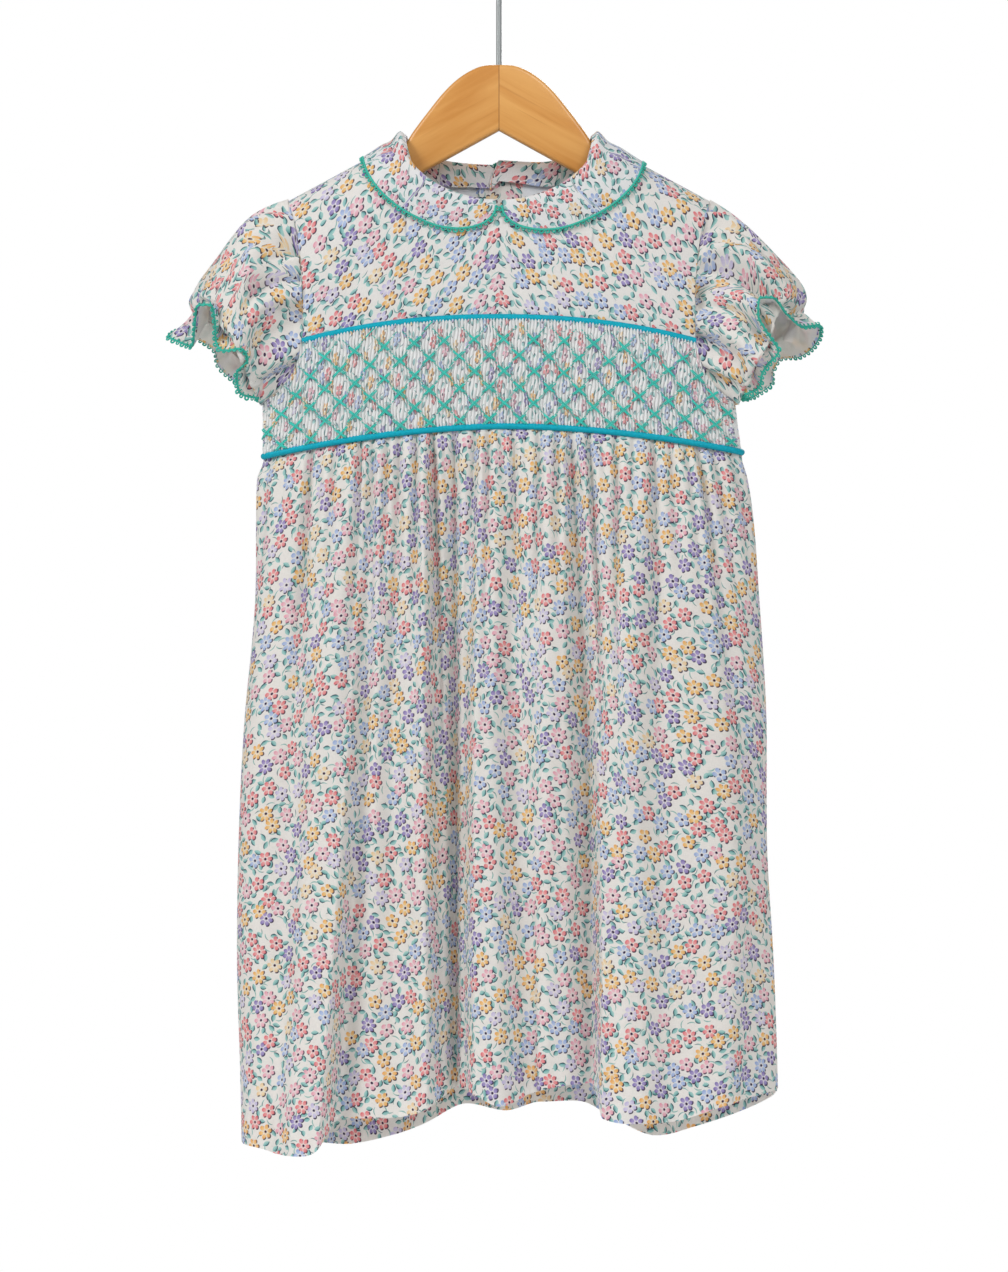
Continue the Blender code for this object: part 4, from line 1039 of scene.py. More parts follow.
def drop_of(run):
    angle = 0.5 * math.pi * np.minimum(run, SHOULDER_RUN) / SHOULDER_RUN
    return SHOULDER_ROUND * (1 - np.cos(angle)) + np.maximum(0.0, run - SHOULDER_RUN), np.sin(angle)


def run_of(drop):
    drop = np.asarray(drop, float)
    angle = np.arccos(1 - np.clip(drop, 0.0, SHOULDER_ROUND) / SHOULDER_ROUND)
    return SHOULDER_RUN * angle / (0.5 * math.pi) + np.maximum(0.0, drop - SHOULDER_ROUND)


def on_bodice(x, run, back, lift=0.0):
    """Points over the bodice's outer face. run goes down from the shoulder line, on the front or the back."""
    x, run, lift = np.broadcast_arrays(np.asarray(x, float), np.asarray(run, float), np.asarray(lift, float))
    drop, share = drop_of(run)
    depth = chest_out(x, back)
    up = np.sqrt(np.maximum(0.0, 1 - share * share)) * depth / SHOULDER_ROUND
    size = np.sqrt(share**2 + up**2 + (SHOULDER_SLOPE * up) ** 2) + 1e-9
    out = depth * share + lift * share / size
    z = shoulder_z(x) - drop + lift * up / size
    beside = x + np.sign(x) * lift * SHOULDER_SLOPE * up / size
    return np.stack([beside, out if back else -out, z], axis=-1)


def half_ring(left, right, depth, roundness, steps=400):
    """Half a ring from the left seam to the right one: x, distance out, and the length along it."""
    angle = np.linspace(-0.5 * math.pi, 0.5 * math.pi, steps + 1)
    power = 2 / roundness
    x = 0.5 * (left + right) + 0.5 * (right - left) * np.sign(np.sin(angle)) * np.abs(np.sin(angle)) ** power
    out = depth * np.abs(np.cos(angle)) ** power
    return x, out, np.concatenate([[0.0], np.cumsum(np.hypot(np.diff(x), np.diff(out)))])


def on_ring(ring, along, lift):
    """Points at lengths along a half ring, moved outwards by lift: x and distance out."""
    x, out, length = ring
    step = 0.01 * length[-1]
    low, high = np.clip(along - step, 0.0, length[-1]), np.clip(along + step, 0.0, length[-1])
    run_x = np.interp(high, length, x) - np.interp(low, length, x)
    run_out = np.interp(high, length, out) - np.interp(low, length, out)
    size = np.hypot(run_x, run_out)
    return np.interp(along, length, x) - lift * run_out / size, np.interp(along, length, out) + lift * run_x / size


def armhole_rows(end_run, low, count):
    """Rows down the armhole's edge: its x, and its share of the run down to the panel's bottom."""
    heights = np.linspace(ARMHOLE[0][0], low, count)
    reach = course(ARMHOLE, heights, 1)
    down = run_of(shoulder_z(reach) - heights) / end_run
    down = (down - down[0]) / (down[-1] - down[0])
    return reach[:, None], down[:, None]


def neck_columns(inner, outer):
    """Shares of the half width, dense towards the neck's corner."""
    share = NECK_HALF / SHOULDER_END
    inside = share * np.sin(np.linspace(0, 0.5 * math.pi, inner))
    return np.concatenate([inside, share + (1 - share) * np.linspace(0, 1, outer)[1:]])


def front_yoke():
    half = neck_columns(60, 42)
    share = np.concatenate([-half[:0:-1], half])[None, :]
    top_x, bottom_x = share * SHOULDER_END, share * UPPER_SEAM_HALF
    top = np.where(np.abs(top_x) < NECK_HALF, run_of(shoulder_z(top_x) - neck_z(top_x, False)), 0.0)
    bottom = run_of(shoulder_z(bottom_x) - upper_seam_z(bottom_x) - 0.6)
    reach, down = armhole_rows(run_of(shoulder_z(118.0) + 251.0), -251.4, 96)
    x, run = share * reach, top * (1 - down) ** 1.5 + bottom * down
    lift = 0.45 * ripple(x, run, 42.0, 11) * ease(0, 30, run) * ease(0, 12, bottom - run)
    return on_bodice(x, run, False, lift), np.stack(np.broadcast_arrays(x, run), axis=-1)


def back_half(side, drop):
    """A back bodice half. drop sinks the edge under the other half."""
    half = neck_columns(40, 30)
    reach_top = np.concatenate([np.linspace(-OVERLAP, 0, 8)[:-1], half * SHOULDER_END])[None, :]
    share = (reach_top + OVERLAP) / (SHOULDER_END + OVERLAP)
    edge, down = armhole_rows(run_of(shoulder_z(142.0) + 320.0), -320.0, 80)
    reach = (edge + OVERLAP) * share - OVERLAP
    top = np.where(np.abs(reach_top) < NECK_HALF, run_of(shoulder_z(reach_top) - neck_z(reach_top, True)), 0.0)
    top = top + (6.0 * (1 - ease(-OVERLAP, 0.5 * OVERLAP, reach)) if drop else 0.0)
    bottom = run_of(shoulder_z(reach) - lower_seam_z(side * reach))
    run = top + (bottom - top) * down
    lift = -drop * (1 - ease(*UNDERLAP_RISE, reach))
    lift = lift + 0.4 * ripple(side * reach, run, 40.0, 21 + side) * ease(0, 30, run) * ease(4, 26, reach)
    face = on_bodice(side * reach, run, True, lift)
    face[..., 1] += 0.3
    return face, np.stack(np.broadcast_arrays(side * reach, -run), axis=-1)


def smock_top(x):
    """The smocked panel's upper edge: the piped seam, then the lower part of the armhole."""
    low = course([(reach, height) for height, reach in ARMHOLE[4:8]], np.abs(x), 1)
    return np.where(np.abs(x) < UPPER_SEAM_HALF, upper_seam_z(x) - 0.6, np.minimum(low, -251.6))


MIDDLE_RING = half_ring(-CHEST_HALF, CHEST_HALF, CHEST_DEPTH[False], CHEST_ROUNDNESS)
SMOCK_WIDTH = MIDDLE_RING[2][-1]


def panel_top(x):
    """The upper seam's line, carried on past the piping's ends, so that the stitches' rows stay level."""
    return upper_seam_z(x) - 0.6


def smock_surface(share, row, lift, top=smock_top):
    """Points of the smocked panel, at shares of its width and of its height below top, lifted off it."""
    share, row, lift = np.broadcast_arrays(np.asarray(share, float), np.asarray(row, float), np.asarray(lift, float))
    x = np.interp(share * SMOCK_WIDTH, MIDDLE_RING[2], MIDDLE_RING[0])
    z = top(x) + (lower_seam_z(x) + 0.8 - top(x)) * row / PANEL_UNITS
    near_x, out = on_ring(MIDDLE_RING, share * SMOCK_WIDTH, lift)
    left, right = course(SILHOUETTE, z, 1), course(SILHOUETTE, z, 2)
    across = 0.5 * (left + right) + 0.5 * (right - left) * near_x / CHEST_HALF
    return np.stack([across, -out - 0.6, z], axis=-1)


def lattice_phase(row):
    """How many rows of stitches lie above a place of the panel."""
    return (row - FIRST_ROW) / ROW_STEP


def smocked_face():
    """The pleated face, its plan, and the plain face behind it."""
    steps = len(PLEAT_TURNS)
    share = np.linspace(0, 1, PLEATS * steps + 1)[None, :]
    row = np.linspace(0, PANEL_UNITS, 50)[:, None]
    x = np.interp(share * SMOCK_WIDTH, MIDDLE_RING[2], MIDDLE_RING[0])
    z = smock_top(x) + (lower_seam_z(x) + 0.8 - smock_top(x)) * row / PANEL_UNITS
    level = lattice_phase(PANEL_UNITS * (panel_top(x) - z) / (panel_top(x) - lower_seam_z(x) - 0.8))
    phase = 2 * math.pi * share * SMOCK_WIDTH / LATTICE_WIDTH - math.pi * level
    held = ease(0.2, 0.9, row) * ease(0.2, 0.9, PANEL_UNITS - row)
    pull = LATTICE_PULL * np.sin(phase) / SMOCK_WIDTH * held
    at_stitch = np.cos(0.5 * phase) ** 8 * np.cos(math.pi * level) ** 4 * held
    pleat = np.abs(np.sin(math.pi * share * PLEATS)) ** 0.62
    puff = 0.14 * ripple(SMOCK_WIDTH * share, 9.3 * row, 4.0, 31, stretch=4.0)
    from_side = ease(0, 0.02, share) * ease(0, 0.02, 1 - share)
    lift = PLEAT_DEPTH * pleat * (1 + puff - 0.25 * at_stitch) * from_side
    spot = np.clip(share - pull * from_side, 0, 1)
    place = (np.arange(PLEATS)[:, None] + np.array(PLEAT_TURNS)).ravel()
    place = PLEAT_CLOTH * np.append(place, PLEATS)[None, :]
    plan = np.stack(np.broadcast_arrays(place, 9.3 * row), axis=-1)
    return smock_surface(spot, row, lift), plan, smock_surface(share, row, -1.0)


def smocking_lines():
    """Lines of thread: the slanting stitches from star to star, and the crossed bars of each star."""
    slants, stars = [], []
    lift = PLEAT_DEPTH + 0.15
    chance = np.random.default_rng(7)
    wide, tall = STAR_REACH

    def add_line(lines, spots):
        line = np.array([smock_surface(*spot, panel_top) for spot in spots])
        if (line[:, 2] < smock_top(line[:, 0]) - 0.8).all():
            lines.append(line)

    for row in range(STITCH_ROWS):
        level = FIRST_ROW + ROW_STEP * row
        for number in range(-1, int(SMOCK_WIDTH / LATTICE_WIDTH) + 2):
            at = (number + 0.5 * (row % 2)) * LATTICE_WIDTH / SMOCK_WIDTH
            if not 0.02 < at < 0.98:
                continue
            at += chance.uniform(-0.3, 0.3) / SMOCK_WIDTH
            for across in (-1, 1):
                for offset in (-0.6, 0.6):
                    reach = chance.uniform(0.75, 1.15)
                    slip = chance.uniform(-0.25, 0.25)
                    spots = []
                    for part in (-1.0, -0.5, 0.0, 0.5, 1.0):
                        beside = (part * across * wide * reach + offset + slip) / SMOCK_WIDTH
                        bow = 0.15 + 1.9 * abs(part) - 2.0 * part**2 + (0.3 if across > 0 else 0.0)
                        spots.append((at + beside, level + part * tall * reach, lift + bow))
                    add_line(stars, spots)
            if row == STITCH_ROWS - 1:
                continue
            for way in (-1, 1):
                stop = at + 0.5 * way * LATTICE_WIDTH / SMOCK_WIDTH
                if not 0.01 < stop < 0.99:
                    continue
                for part in range(5):
                    middle = 0.24 + 0.13 * part + chance.uniform(-0.02, 0.02)
                    half = chance.uniform(0.04, 0.065)
                    slope = chance.uniform(0.3, 0.9)
                    add_line(
                        slants,
                        [
                            (at + (stop - at) * (middle + off), level + ROW_STEP * (middle + slope * off), lift + bow)
                            for off, bow in ((-half, -0.75), (-0.5 * half, 0.0), (0.5 * half, 0.0), (half, -0.75))
                        ],
                    )
    return slants, stars


def fold_depth(down, half_way, at_hem):
    below = half_way + (at_hem - half_way) * (2 * down - 1)
    above = half_way * (FOLD_AT_WAIST + (1 - FOLD_AT_WAIST) * ease(0, 1, 2 * down)) * ease(-0.01, 0.05, down)
    return np.where(down > 0.5, below, above)


def seeded_gathers(seed):
    """Uneven gathers for the back, like the front's."""
    chance = np.random.default_rng(seed)
    places = np.linspace(-137.0, 141.0, 31) + chance.uniform(-2.5, 2.5, 31)
    return [(x, chance.uniform(1.4, 4.2), chance.uniform(0.1, 0.5)) for x in places]


def skirt_face(folds, gathers, depth_column, seed):
    """The outer face of a skirt panel as x, distance out and height, with its plan."""
    waist_left, waist_right = (float(course(SILHOUETTE, WAIST_Z, side)) for side in (1, 2))
    side_tops = [float(lower_seam_z(x)) for x in (waist_left, waist_right)]
    waist = np.array([waist_left, *[fold[0] for fold in folds], waist_right])
    marks = (waist - waist_left) / (waist_right - waist_left)
    column = np.linspace(0, 1, 421)
    at_waist_x = waist_left + (waist_right - waist_left) * column
    hem = course(list(zip(marks, [HEM_ENDS[0], *[fold[5] for fold in folds], HEM_ENDS[1]], strict=True)), column, 1)
    from_side = ease(0, 0.03, column) * ease(0, 0.03, 1 - column)
    span = np.clip(np.searchsorted(marks, column, side="right") - 1, 0, len(marks) - 2)
    share = ease(0, 1, (column - marks[span]) / (marks[span + 1] - marks[span]))
    face = []
    downs = np.linspace(0, 1, 91) ** 1.35
    for down in downs:
        sides = [top + (end - top) * down for top, end in zip(side_tops, HEM_ENDS, strict=True)]
        left, right = (float(course(SILHOUETTE, min(WAIST_Z, sides[n]), n + 1)) for n in (0, 1))
        ring = half_ring(left, right, float(course(SKIRT_DEPTHS, down, depth_column)), SKIRT_ROUNDNESS)
        lines = [left]
        for at_waist, half_way, at_hem in (fold[:3] for fold in folds):
            bow = at_waist * (1 - down) * (1 - 2 * down) + 4 * half_way * down * (1 - down)
            lines.append(bow + at_hem * down * (2 * down - 1))
        lines.append(right)
        depths = np.array([0.0, *[float(fold_depth(down, *fold[3:5])) for fold in folds], 0.0])
        places = np.interp(lines, ring[0], ring[2])
        along = course(list(zip(marks, places, strict=True)), column, 1)
        fold = depths[span] + (depths[span + 1] - depths[span]) * share
        gather = GATHER_PUFF * ease(0.0, 0.02, down) * (1 - ease(0.05, 0.4, down))
        for x, depth, reach in gathers:
            dip = GATHER_DEPTH * depth * (0.4 + 0.6 * ease(0.0, 0.02, down)) * (1 - ease(0.3 * reach, 1.3 * reach, down))
            gather = gather - dip * np.exp(-(np.abs((at_waist_x - x) / (1.9 + 2.6 * down / reach)) ** 1.5))
        soft = 0.7 * ripple(column * 300, down * 415, 26.0, seed + 2, stretch=5.0) * ease(0.05, 0.3, down)
        x, out = on_ring(ring, along, (fold + gather + soft) * from_side)
        top = lower_seam_z(x) - 0.8
        face.append(np.stack([x, np.maximum(0.15, out), top + (hem - top) * down], axis=-1))
    face = np.array(face)
    wide = lengths(face, 1)
    steps = np.diff(wide, axis=1)
    steps = steps + (steps[downs < PLAN_FROM].max(axis=0) - steps) * (1 - ease(PLAN_FROM, 0.7, downs))[:, None]
    wide = np.concatenate([np.zeros((len(downs), 1)), np.cumsum(steps, axis=1)], axis=1)
    start = np.argmin(np.abs(at_waist_x))
    return face, np.stack([wide - wide[:, start : start + 1], lengths(face, 0)], axis=-1)


def collar_plan(degrees, side):
    """The collar's inner and outer edge at angles round the neck, as (x, run), the run negative on the back."""
    turn = np.radians(degrees)
    back = degrees > 90
    sign = np.where(back, -1.0, 1.0)
    forward = np.abs(np.cos(turn))
    neck_x = NECK_HALF * np.sin(turn)
    neck_run = run_of(shoulder_z(neck_x) - NECK_SIDE_Z + np.where(back, NECK_DROP[True], NECK_DROP[False]) * forward)
    reach = COLLAR_REACH[side]
    full_x = reach * np.sin(turn)
    drop = np.where(back, COLLAR_DROP["back"], COLLAR_DROP[side]) * forward**COLLAR_SLIM
    full_run = run_of(shoulder_z(full_x) - shoulder_z(reach) + drop)
    from_end = np.minimum(degrees - COLLAR_ENDS[0], COLLAR_ENDS[1] - degrees) / COLLAR_LOBE
    lobe = np.sqrt(np.maximum(0.0, 1 - (1 - np.minimum(1.0, from_end)) ** 2))
    width = COLLAR_END_WIDTH + (1 - COLLAR_END_WIDTH) * lobe
    outer_x = neck_x + (full_x - neck_x) * width
    outer_run = neck_run + (full_run - neck_run) * width
    return neck_x, sign * neck_run, outer_x, sign * outer_run


def bodice_points(x, run, lift=0.0):
    """Points over the bodice, the run negative on the back."""
    front, back = on_bodice(x, np.abs(run), False, lift), on_bodice(x, np.abs(run), True, lift)
    return np.where((run < 0)[..., None], back, front)


def smooth_across(points, count):
    """A finer row through the points of each station, along a rounded spline."""
    number = points.shape[1]
    padded_points = np.concatenate([2 * points[:, :1] - points[:, 1:2], points, 2 * points[:, -1:] - points[:, -2:-1]], axis=1)
    at = np.linspace(0, number - 1, count)
    span = np.minimum(at.astype(int), number - 2)
    t = (at - span)[None, :, None]
    before, start, end, after = (padded_points[:, span + step] for step in range(4))
    return 0.5 * (
        2 * start
        + (end - before) * t
        + (2 * before - 5 * start + 4 * end - after) * t**2
        + (3 * start - before - 3 * end + after) * t**3
    )


def collar_face(side):
    ends = 0.5 - 0.5 * np.cos(math.pi * np.linspace(0, 1, 150))
    spread = 0.5 * ends + 0.5 * np.linspace(0, 1, 150)
    degrees = COLLAR_ENDS[0] + (COLLAR_ENDS[1] - COLLAR_ENDS[0]) * spread
    neck_x, neck_run, outer_x, outer_run = collar_plan(degrees, side)
    stand_x = neck_x - (STAND_LAP * ease(150, 177, degrees) if side > 0 else 0.0)
    turn = np.radians(degrees)
    sign = np.where(neck_run < 0, -1.0, 1.0)
    off_placket = np.where(neck_run < 0, ease(*UNDERLAP_RISE, neck_x), 1.0)
    depth = STAND_DEPTHS[0] + (STAND_DEPTHS[1] - STAND_DEPTHS[0]) * ease(80, 110, degrees)
    inward = STAND_LIFT - (UNDERLAP_DROP * (1 - off_placket) if side > 0 else 0.0)
    roll = ROLLS[0] + (ROLLS[1] - ROLLS[0]) * np.sin(turn) ** 2 + (ROLLS[2] - ROLLS[0]) * ease(120, 180, degrees)
    on_shoulder = np.sin(turn) ** 4
    beside = ease(50, 80, np.minimum(degrees, 180 - degrees))
    out_x = side * np.sin(turn) * beside
    out_y = -np.cos(turn) * beside - sign * (1 - beside)
    size = np.hypot(out_x, out_y)
    away = np.stack([out_x / size, out_y / size, np.zeros_like(size)], axis=-1)
    up = np.array([0.0, 0.0, 1.0])
    columns = []
    for down in (depth, 0.4 * depth):
        base = bodice_points(side * stand_x, sign * (np.abs(neck_run) + down * (1 - on_shoulder)))
        rise = (0.5 * (depth - down) + 2.0) * on_shoulder
        columns.append(base + np.broadcast_to(inward, size.shape)[:, None] * away + rise[:, None] * up)
    base = bodice_points(side * (0.4 * neck_x + 0.6 * stand_x), neck_run)
    for out, rise in ((inward + 0.6, 0.75 * roll), (-0.6, roll + 0.6), (1.8, 0.8 * roll)):
        columns.append(base + np.broadcast_to(out, size.shape)[:, None] * away + rise[:, None] * up)
    for share in (0.18, 0.45, 0.75, 1.0):
        x = side * (neck_x + (outer_x - neck_x) * share)
        run = neck_run + (outer_run - neck_run) * share
        belly = COLLAR_BELLY * math.sin(math.pi * min(1.0, share + 0.1)) * ease(0, 20, degrees)
        wave = 0.35 * share * ripple(turn * 60, 0.0 * turn, 26.0, 51 + side)
        columns.append(bodice_points(x, run, COLLAR_LIFT + belly + wave))
    face = smooth_across(np.stack(columns, axis=1), 40)
    far = lengths(face, 1)
    start = np.argmin(np.abs(face - base[:, None]).sum(axis=-1), axis=1)
    far -= np.take_along_axis(far, start[:, None], axis=1)
    way = np.stack([side * (outer_x - neck_x), outer_run - neck_run], axis=-1)
    way /= np.linalg.norm(way, axis=-1, keepdims=True)
    inner_way = way * np.array([0.12, 1.0])
    inner_way /= np.linalg.norm(inner_way, axis=-1, keepdims=True)
    way = np.where(far[..., None] < 0, inner_way[:, None], way[:, None])
    plan = np.stack([side * neck_x, neck_run], axis=-1)[:, None] + way * far[..., None]
    return face, plan


def armhole_point(share):
    """The right armhole at shares of its way down: x, distance out, z, and the direction out of it."""
    heights = np.linspace(-166.0, -289.0, 200)
    reach = course(ARMHOLE, heights, 1)
    length = np.concatenate([[0.0], np.cumsum(np.hypot(np.diff(reach), np.diff(heights)))])
    at = share * length[-1]
    x, z = np.interp(at, length, reach), np.interp(at, length, heights)
    low, high = np.maximum(0.0, at - 6), np.minimum(length[-1], at + 6)
    way_x = np.interp(high, length, reach) - np.interp(low, length, reach)
    way_z = np.interp(high, length, heights) - np.interp(low, length, heights)
    size = np.hypot(way_x, way_z)
    out = chest_out(x) * drop_of(run_of(shoulder_z(x) - z))[1]
    return x, out, z, -way_z / size, way_x / size


def creases(rows, turn, down):
    """How far the creases of a table press in, at angles and shares of a sleeve's length."""
    pressed = 0.0
    for first, start, last, end, depth, half_width in rows:
        way = np.clip((down - start) / (end - start), 0.0, 1.0)
        off = np.degrees(turn) - (first + (last - first) * way)
        off = (off + 180) % 360 - 180
        beyond = np.where((down - start) / (end - start) < 0, (down - start) / 0.06, 0.0)
        fade = (1 - ease(0.45, 1.0, (down - start) / (end - start))) * np.exp(-(beyond**2))
        across = off / half_width
        swollen = 0.4 * np.exp(-((np.abs(across) - 2.1) ** 2))
        pressed = pressed + depth * fade * (np.exp(-1.1 * np.abs(across) ** 1.35) - swollen)
    return CREASE_DEPTH * pressed


def sleeve_face(side):
    """The sleeve's outer face, from the armhole to the ruffle's edge, as rings that start underneath."""
    down = np.concatenate([np.linspace(0, 0.12, 12)[:-1], np.linspace(0.12, SLEEVE_END, 70)])[:, None]
    columns = 260
    turn = 2 * math.pi * (np.arange(columns) / columns - 0.5)[None, :]
    column = turn * SLEEVE_GATHERS / math.pi
    top_x, top_z, low_x, low_z, depth = (course(SLEEVES[side], down, item) for item in range(1, 6))
    half_x, half_z = 0.5 * (top_x - low_x), 0.5 * (top_z - low_z)
    size = np.hypot(half_x, half_z)
    phase = SLEEVE_PHASE[side]
    uneven = 1 + 0.45 * ripple(column * 5, 0.0, 18.0, 61 + side)
    head = 1.5 * np.maximum(0.0, np.cos(turn) + 0.4) * np.cos(math.pi * column + 0.8 * uneven) * uneven
    head = head * ease(0.0, 0.05, down) * (1 - ease(0.1, 0.45, down))
    pressed = creases(SLEEVE_CREASES[side], turn, down) * ease(0.0, 0.05, down) - head
    bunch = CUFF_GATHERS * turn + 1.4 * uneven
    cuff = 1.9 * np.sin(bunch) * uneven * ease(0.62, 0.97, down) * (1 - ease(1.03, 1.24, down))
    puff = PUFF_FOLD * np.sin(PUFF_FOLDS * turn + PUFF_TWIST * down + phase) * ease(0.1, 0.5, down) * (1 - ease(0.7, 1.0, down))
    crush = 0.9 * ripple(column * 5, down * 60, 15.0, 63 + side, stretch=1.6) * ease(0.05, 0.3, down)
    swell = cuff + puff + crush * (1 - ease(1.0, 1.15, down))
    nipped = 1.6 * np.exp(-(((down - 1.0) / 0.045) ** 2))
    swell = swell - nipped
    lean = SLEEVE_TURN[side] * np.sin(turn) * ease(0.5, SLEEVE_END, down)
    across = np.cos(turn) * (1 + swell / size)
    x = 0.5 * (top_x + low_x) + half_x * across - half_z / size * lean
    z = 0.5 * (top_z + low_z) + half_z * across + half_x / size * lean
    y = -(depth + swell) * np.sin(turn)
    free_face = np.stack([x, y, z], axis=-1)
    table = [(angle + whole, *rest) for whole in (-360, 0, 360) for angle, *rest in RUFFLES[side]]
    rim = np.stack([course(table, np.degrees(turn), item) for item in (1, 3, 2)], axis=-1) * np.array([1.0, -1.0, 1.0])
    sway = RUFFLE_LEAD * ease(0.6, 1.0, down) + (1 - RUFFLE_LEAD) * ease(0.92, SLEEVE_END + 0.08, down) / ease(0.92, SLEEVE_END + 0.08, SLEEVE_END)
    free_face = free_face + sway[..., None] * (rim - free_face[-1:])
    edge_x, edge_out, edge_z, out_x, out_z = armhole_point(np.abs(turn) / math.pi)
    edge_y = np.where(turn > 0, -edge_out, edge_out * CHEST_DEPTH[True] / CHEST_DEPTH[False] + 0.3)
    edge = np.stack([edge_x + 0.2 * out_x, edge_y * 0.96, edge_z + 0.2 * out_z], axis=-1)
    face = edge + (free_face - edge) * ease(0.0, 0.3, down)[..., None]
    inward = np.stack([-np.cos(turn) * half_x / size, np.sin(turn) + 0.0 * down, -np.cos(turn) * half_z / size], axis=-1)
    face = face + pressed[..., None] * inward
    face[..., 0] *= side
    around = lengths(np.concatenate([face, face[:, :1]], axis=1), 1)
    around = around - around[:, columns // 2][:, None]
    around[:] = around[np.searchsorted(down[:, 0], WIDEST)]
    along = lengths(face, 0)
    along = np.concatenate([along, along[:, :1]], axis=1)
    return face, np.stack([around, along], axis=-1)


def edging_pieces(name, rim, inside, spacing, closed, stitch_side):
    """A rolled thread along a rim, a loop at each step of it, and a short stitch into the cloth at each foot."""
    dress = bpy.context.scene.smocked_dress
    path = np.concatenate([rim, rim[:1]]) if closed else rim
    inner = np.concatenate([inside, inside[:1]]) if closed else inside
    far = lengths(path[None], 1)[0]
    count = max(2, round(far[-1] / spacing))
    at = (np.arange(count) + 0.5) * far[-1] / count
    spots = np.stack([np.interp(at, far, path[:, item]) for item in range(3)], axis=-1)
    ahead = np.stack([np.interp(np.clip(at + 0.8, 0, far[-1]), far, path[:, item]) for item in range(3)], axis=-1)
    behind = np.stack([np.interp(np.clip(at - 0.8, 0, far[-1]), far, path[:, item]) for item in range(3)], axis=-1)
    roots = np.stack([np.interp(at, far, inner[:, item]) for item in range(3)], axis=-1)
    tangent = ahead - behind
    tangent /= np.linalg.norm(tangent, axis=-1, keepdims=True)
    beyond = spots - roots
    beyond -= (beyond * tangent).sum(axis=-1, keepdims=True) * tangent
    beyond /= np.linalg.norm(beyond, axis=-1, keepdims=True)
    facing = np.cross(tangent, beyond) * stitch_side
    thread = 1000 * dress.thread_radius
    loop = 0.27 * spacing
    finish = finish_for("edging_thread")
    values = {
        "Loop Radius": 0.001 * loop,
        "Thread Radius": 0.001 * thread,
        "Unevenness": 0.22,
        "Seed": 4,
        "Finish": finish,
    }
    points = line_mesh(name, [spots + beyond * (thread + 0.55 * loop)], tangent=tangent, beyond=beyond)
    loops = grown(f"{name}_loops", points, picot_tree(), values)
    chance = np.random.default_rng(len(name))
    stitches = []
    for spot, out, face, way in zip(spots, beyond, facing, tangent, strict=True):
        slant = chance.uniform(-0.5, 0.5)
        start = spot + 0.5 * out + 0.2 * face + way * slant
        stop = spot - (1.3 + chance.uniform(0, 0.5)) * out + 0.75 * face
        stitches.append(np.array([start, 0.5 * (start + stop) + 0.55 * face, stop]))
    needle = cord_piece(f"{name}_stitches", stitches, 0.85 * thread, finish, sides=5)
    core = cord_piece(f"{name}_roll", [rim], 1.35 * thread, finish, sides=8, closed=closed)
    return core, loops, needle


# Operators, one for each piece or group of like pieces.


class DressSettings(bpy.types.PropertyGroup):
    """Sizes and colours of the dress that a user would change."""

    ground: FloatVectorProperty(
        name="Ground", description="Ground colour of the printed cotton", subtype="COLOR", size=3, min=0, max=1,
        default=linear("F6F3EF")[:3],
    )  # fmt: skip
    collar_ground: FloatVectorProperty(
        name="Collar ground", description="Ground colour of the collar's cotton", subtype="COLOR", size=3, min=0, max=1,
        default=linear("F8F8F8")[:3],
    )  # fmt: skip
    reverse: FloatVectorProperty(
        name="Reverse", description="Colour of the cotton's unprinted side", subtype="COLOR", size=3, min=0, max=1,
        default=linear("F6F3EE")[:3],
    )  # fmt: skip
    lining: FloatVectorProperty(
        name="Lining", description="Colour inside the bodice", subtype="COLOR", size=3, min=0, max=1,
        default=linear("F4F7FB")[:3],
    )  # fmt: skip
    smocking: FloatVectorProperty(
        name="Smocking thread", description="Colour of the lattice's thread", subtype="COLOR", size=3, min=0, max=1,
        default=linear("46C8B9")[:3],
    )  # fmt: skip
    edging: FloatVectorProperty(
        name="Edging thread", description="Colour of the picot edging", subtype="COLOR", size=3, min=0, max=1,
        default=linear("40B8A4")[:3],
    )  # fmt: skip
    piping: FloatVectorProperty(
        name="Piping", description="Colour of the piped seams", subtype="COLOR", size=3, min=0, max=1,
        default=linear("00A4BA")[:3],
    )  # fmt: skip
    flower_spacing: FloatProperty(
        name="Flower spacing", description="Distance between neighbouring flowers", subtype="DISTANCE", unit="LENGTH",
        default=0.0119, min=0.004, max=0.05,
    )  # fmt: skip
    cloth_thickness: FloatProperty(
        name="Cloth thickness", description="Thickness of a single layer with its turnings", subtype="DISTANCE",
        unit="LENGTH", default=0.0008, min=0.0002, max=0.003,
    )  # fmt: skip
    picot_spacing: FloatProperty(
        name="Picot spacing", description="Distance between the edging's loops", subtype="DISTANCE", unit="LENGTH",
        default=0.0036, min=0.002, max=0.02,
    )  # fmt: skip
    thread_radius: FloatProperty(
        name="Thread radius", description="Radius of the edging thread", subtype="DISTANCE", unit="LENGTH",
        default=0.00052, min=0.0001, max=0.002,
    )  # fmt: skip


class HangerSettings(bpy.types.PropertyGroup):
    """Sizes and colours of the hanger that a user would change."""

    wood_light: FloatVectorProperty(
        name="Light wood", description="Pale streaks of the beech", subtype="COLOR", size=3, min=0, max=1,
        default=linear("DCA156")[:3],
    )  # fmt: skip
    wood_dark: FloatVectorProperty(
        name="Dark wood", description="Honey streaks of the beech", subtype="COLOR", size=3, min=0, max=1,
        default=linear("C88638")[:3],
    )  # fmt: skip
    wire_radius: FloatProperty(
        name="Wire radius", description="Radius of the hook's wire", subtype="DISTANCE", unit="LENGTH",
        default=0.0017, min=0.0008, max=0.004,
    )  # fmt: skip


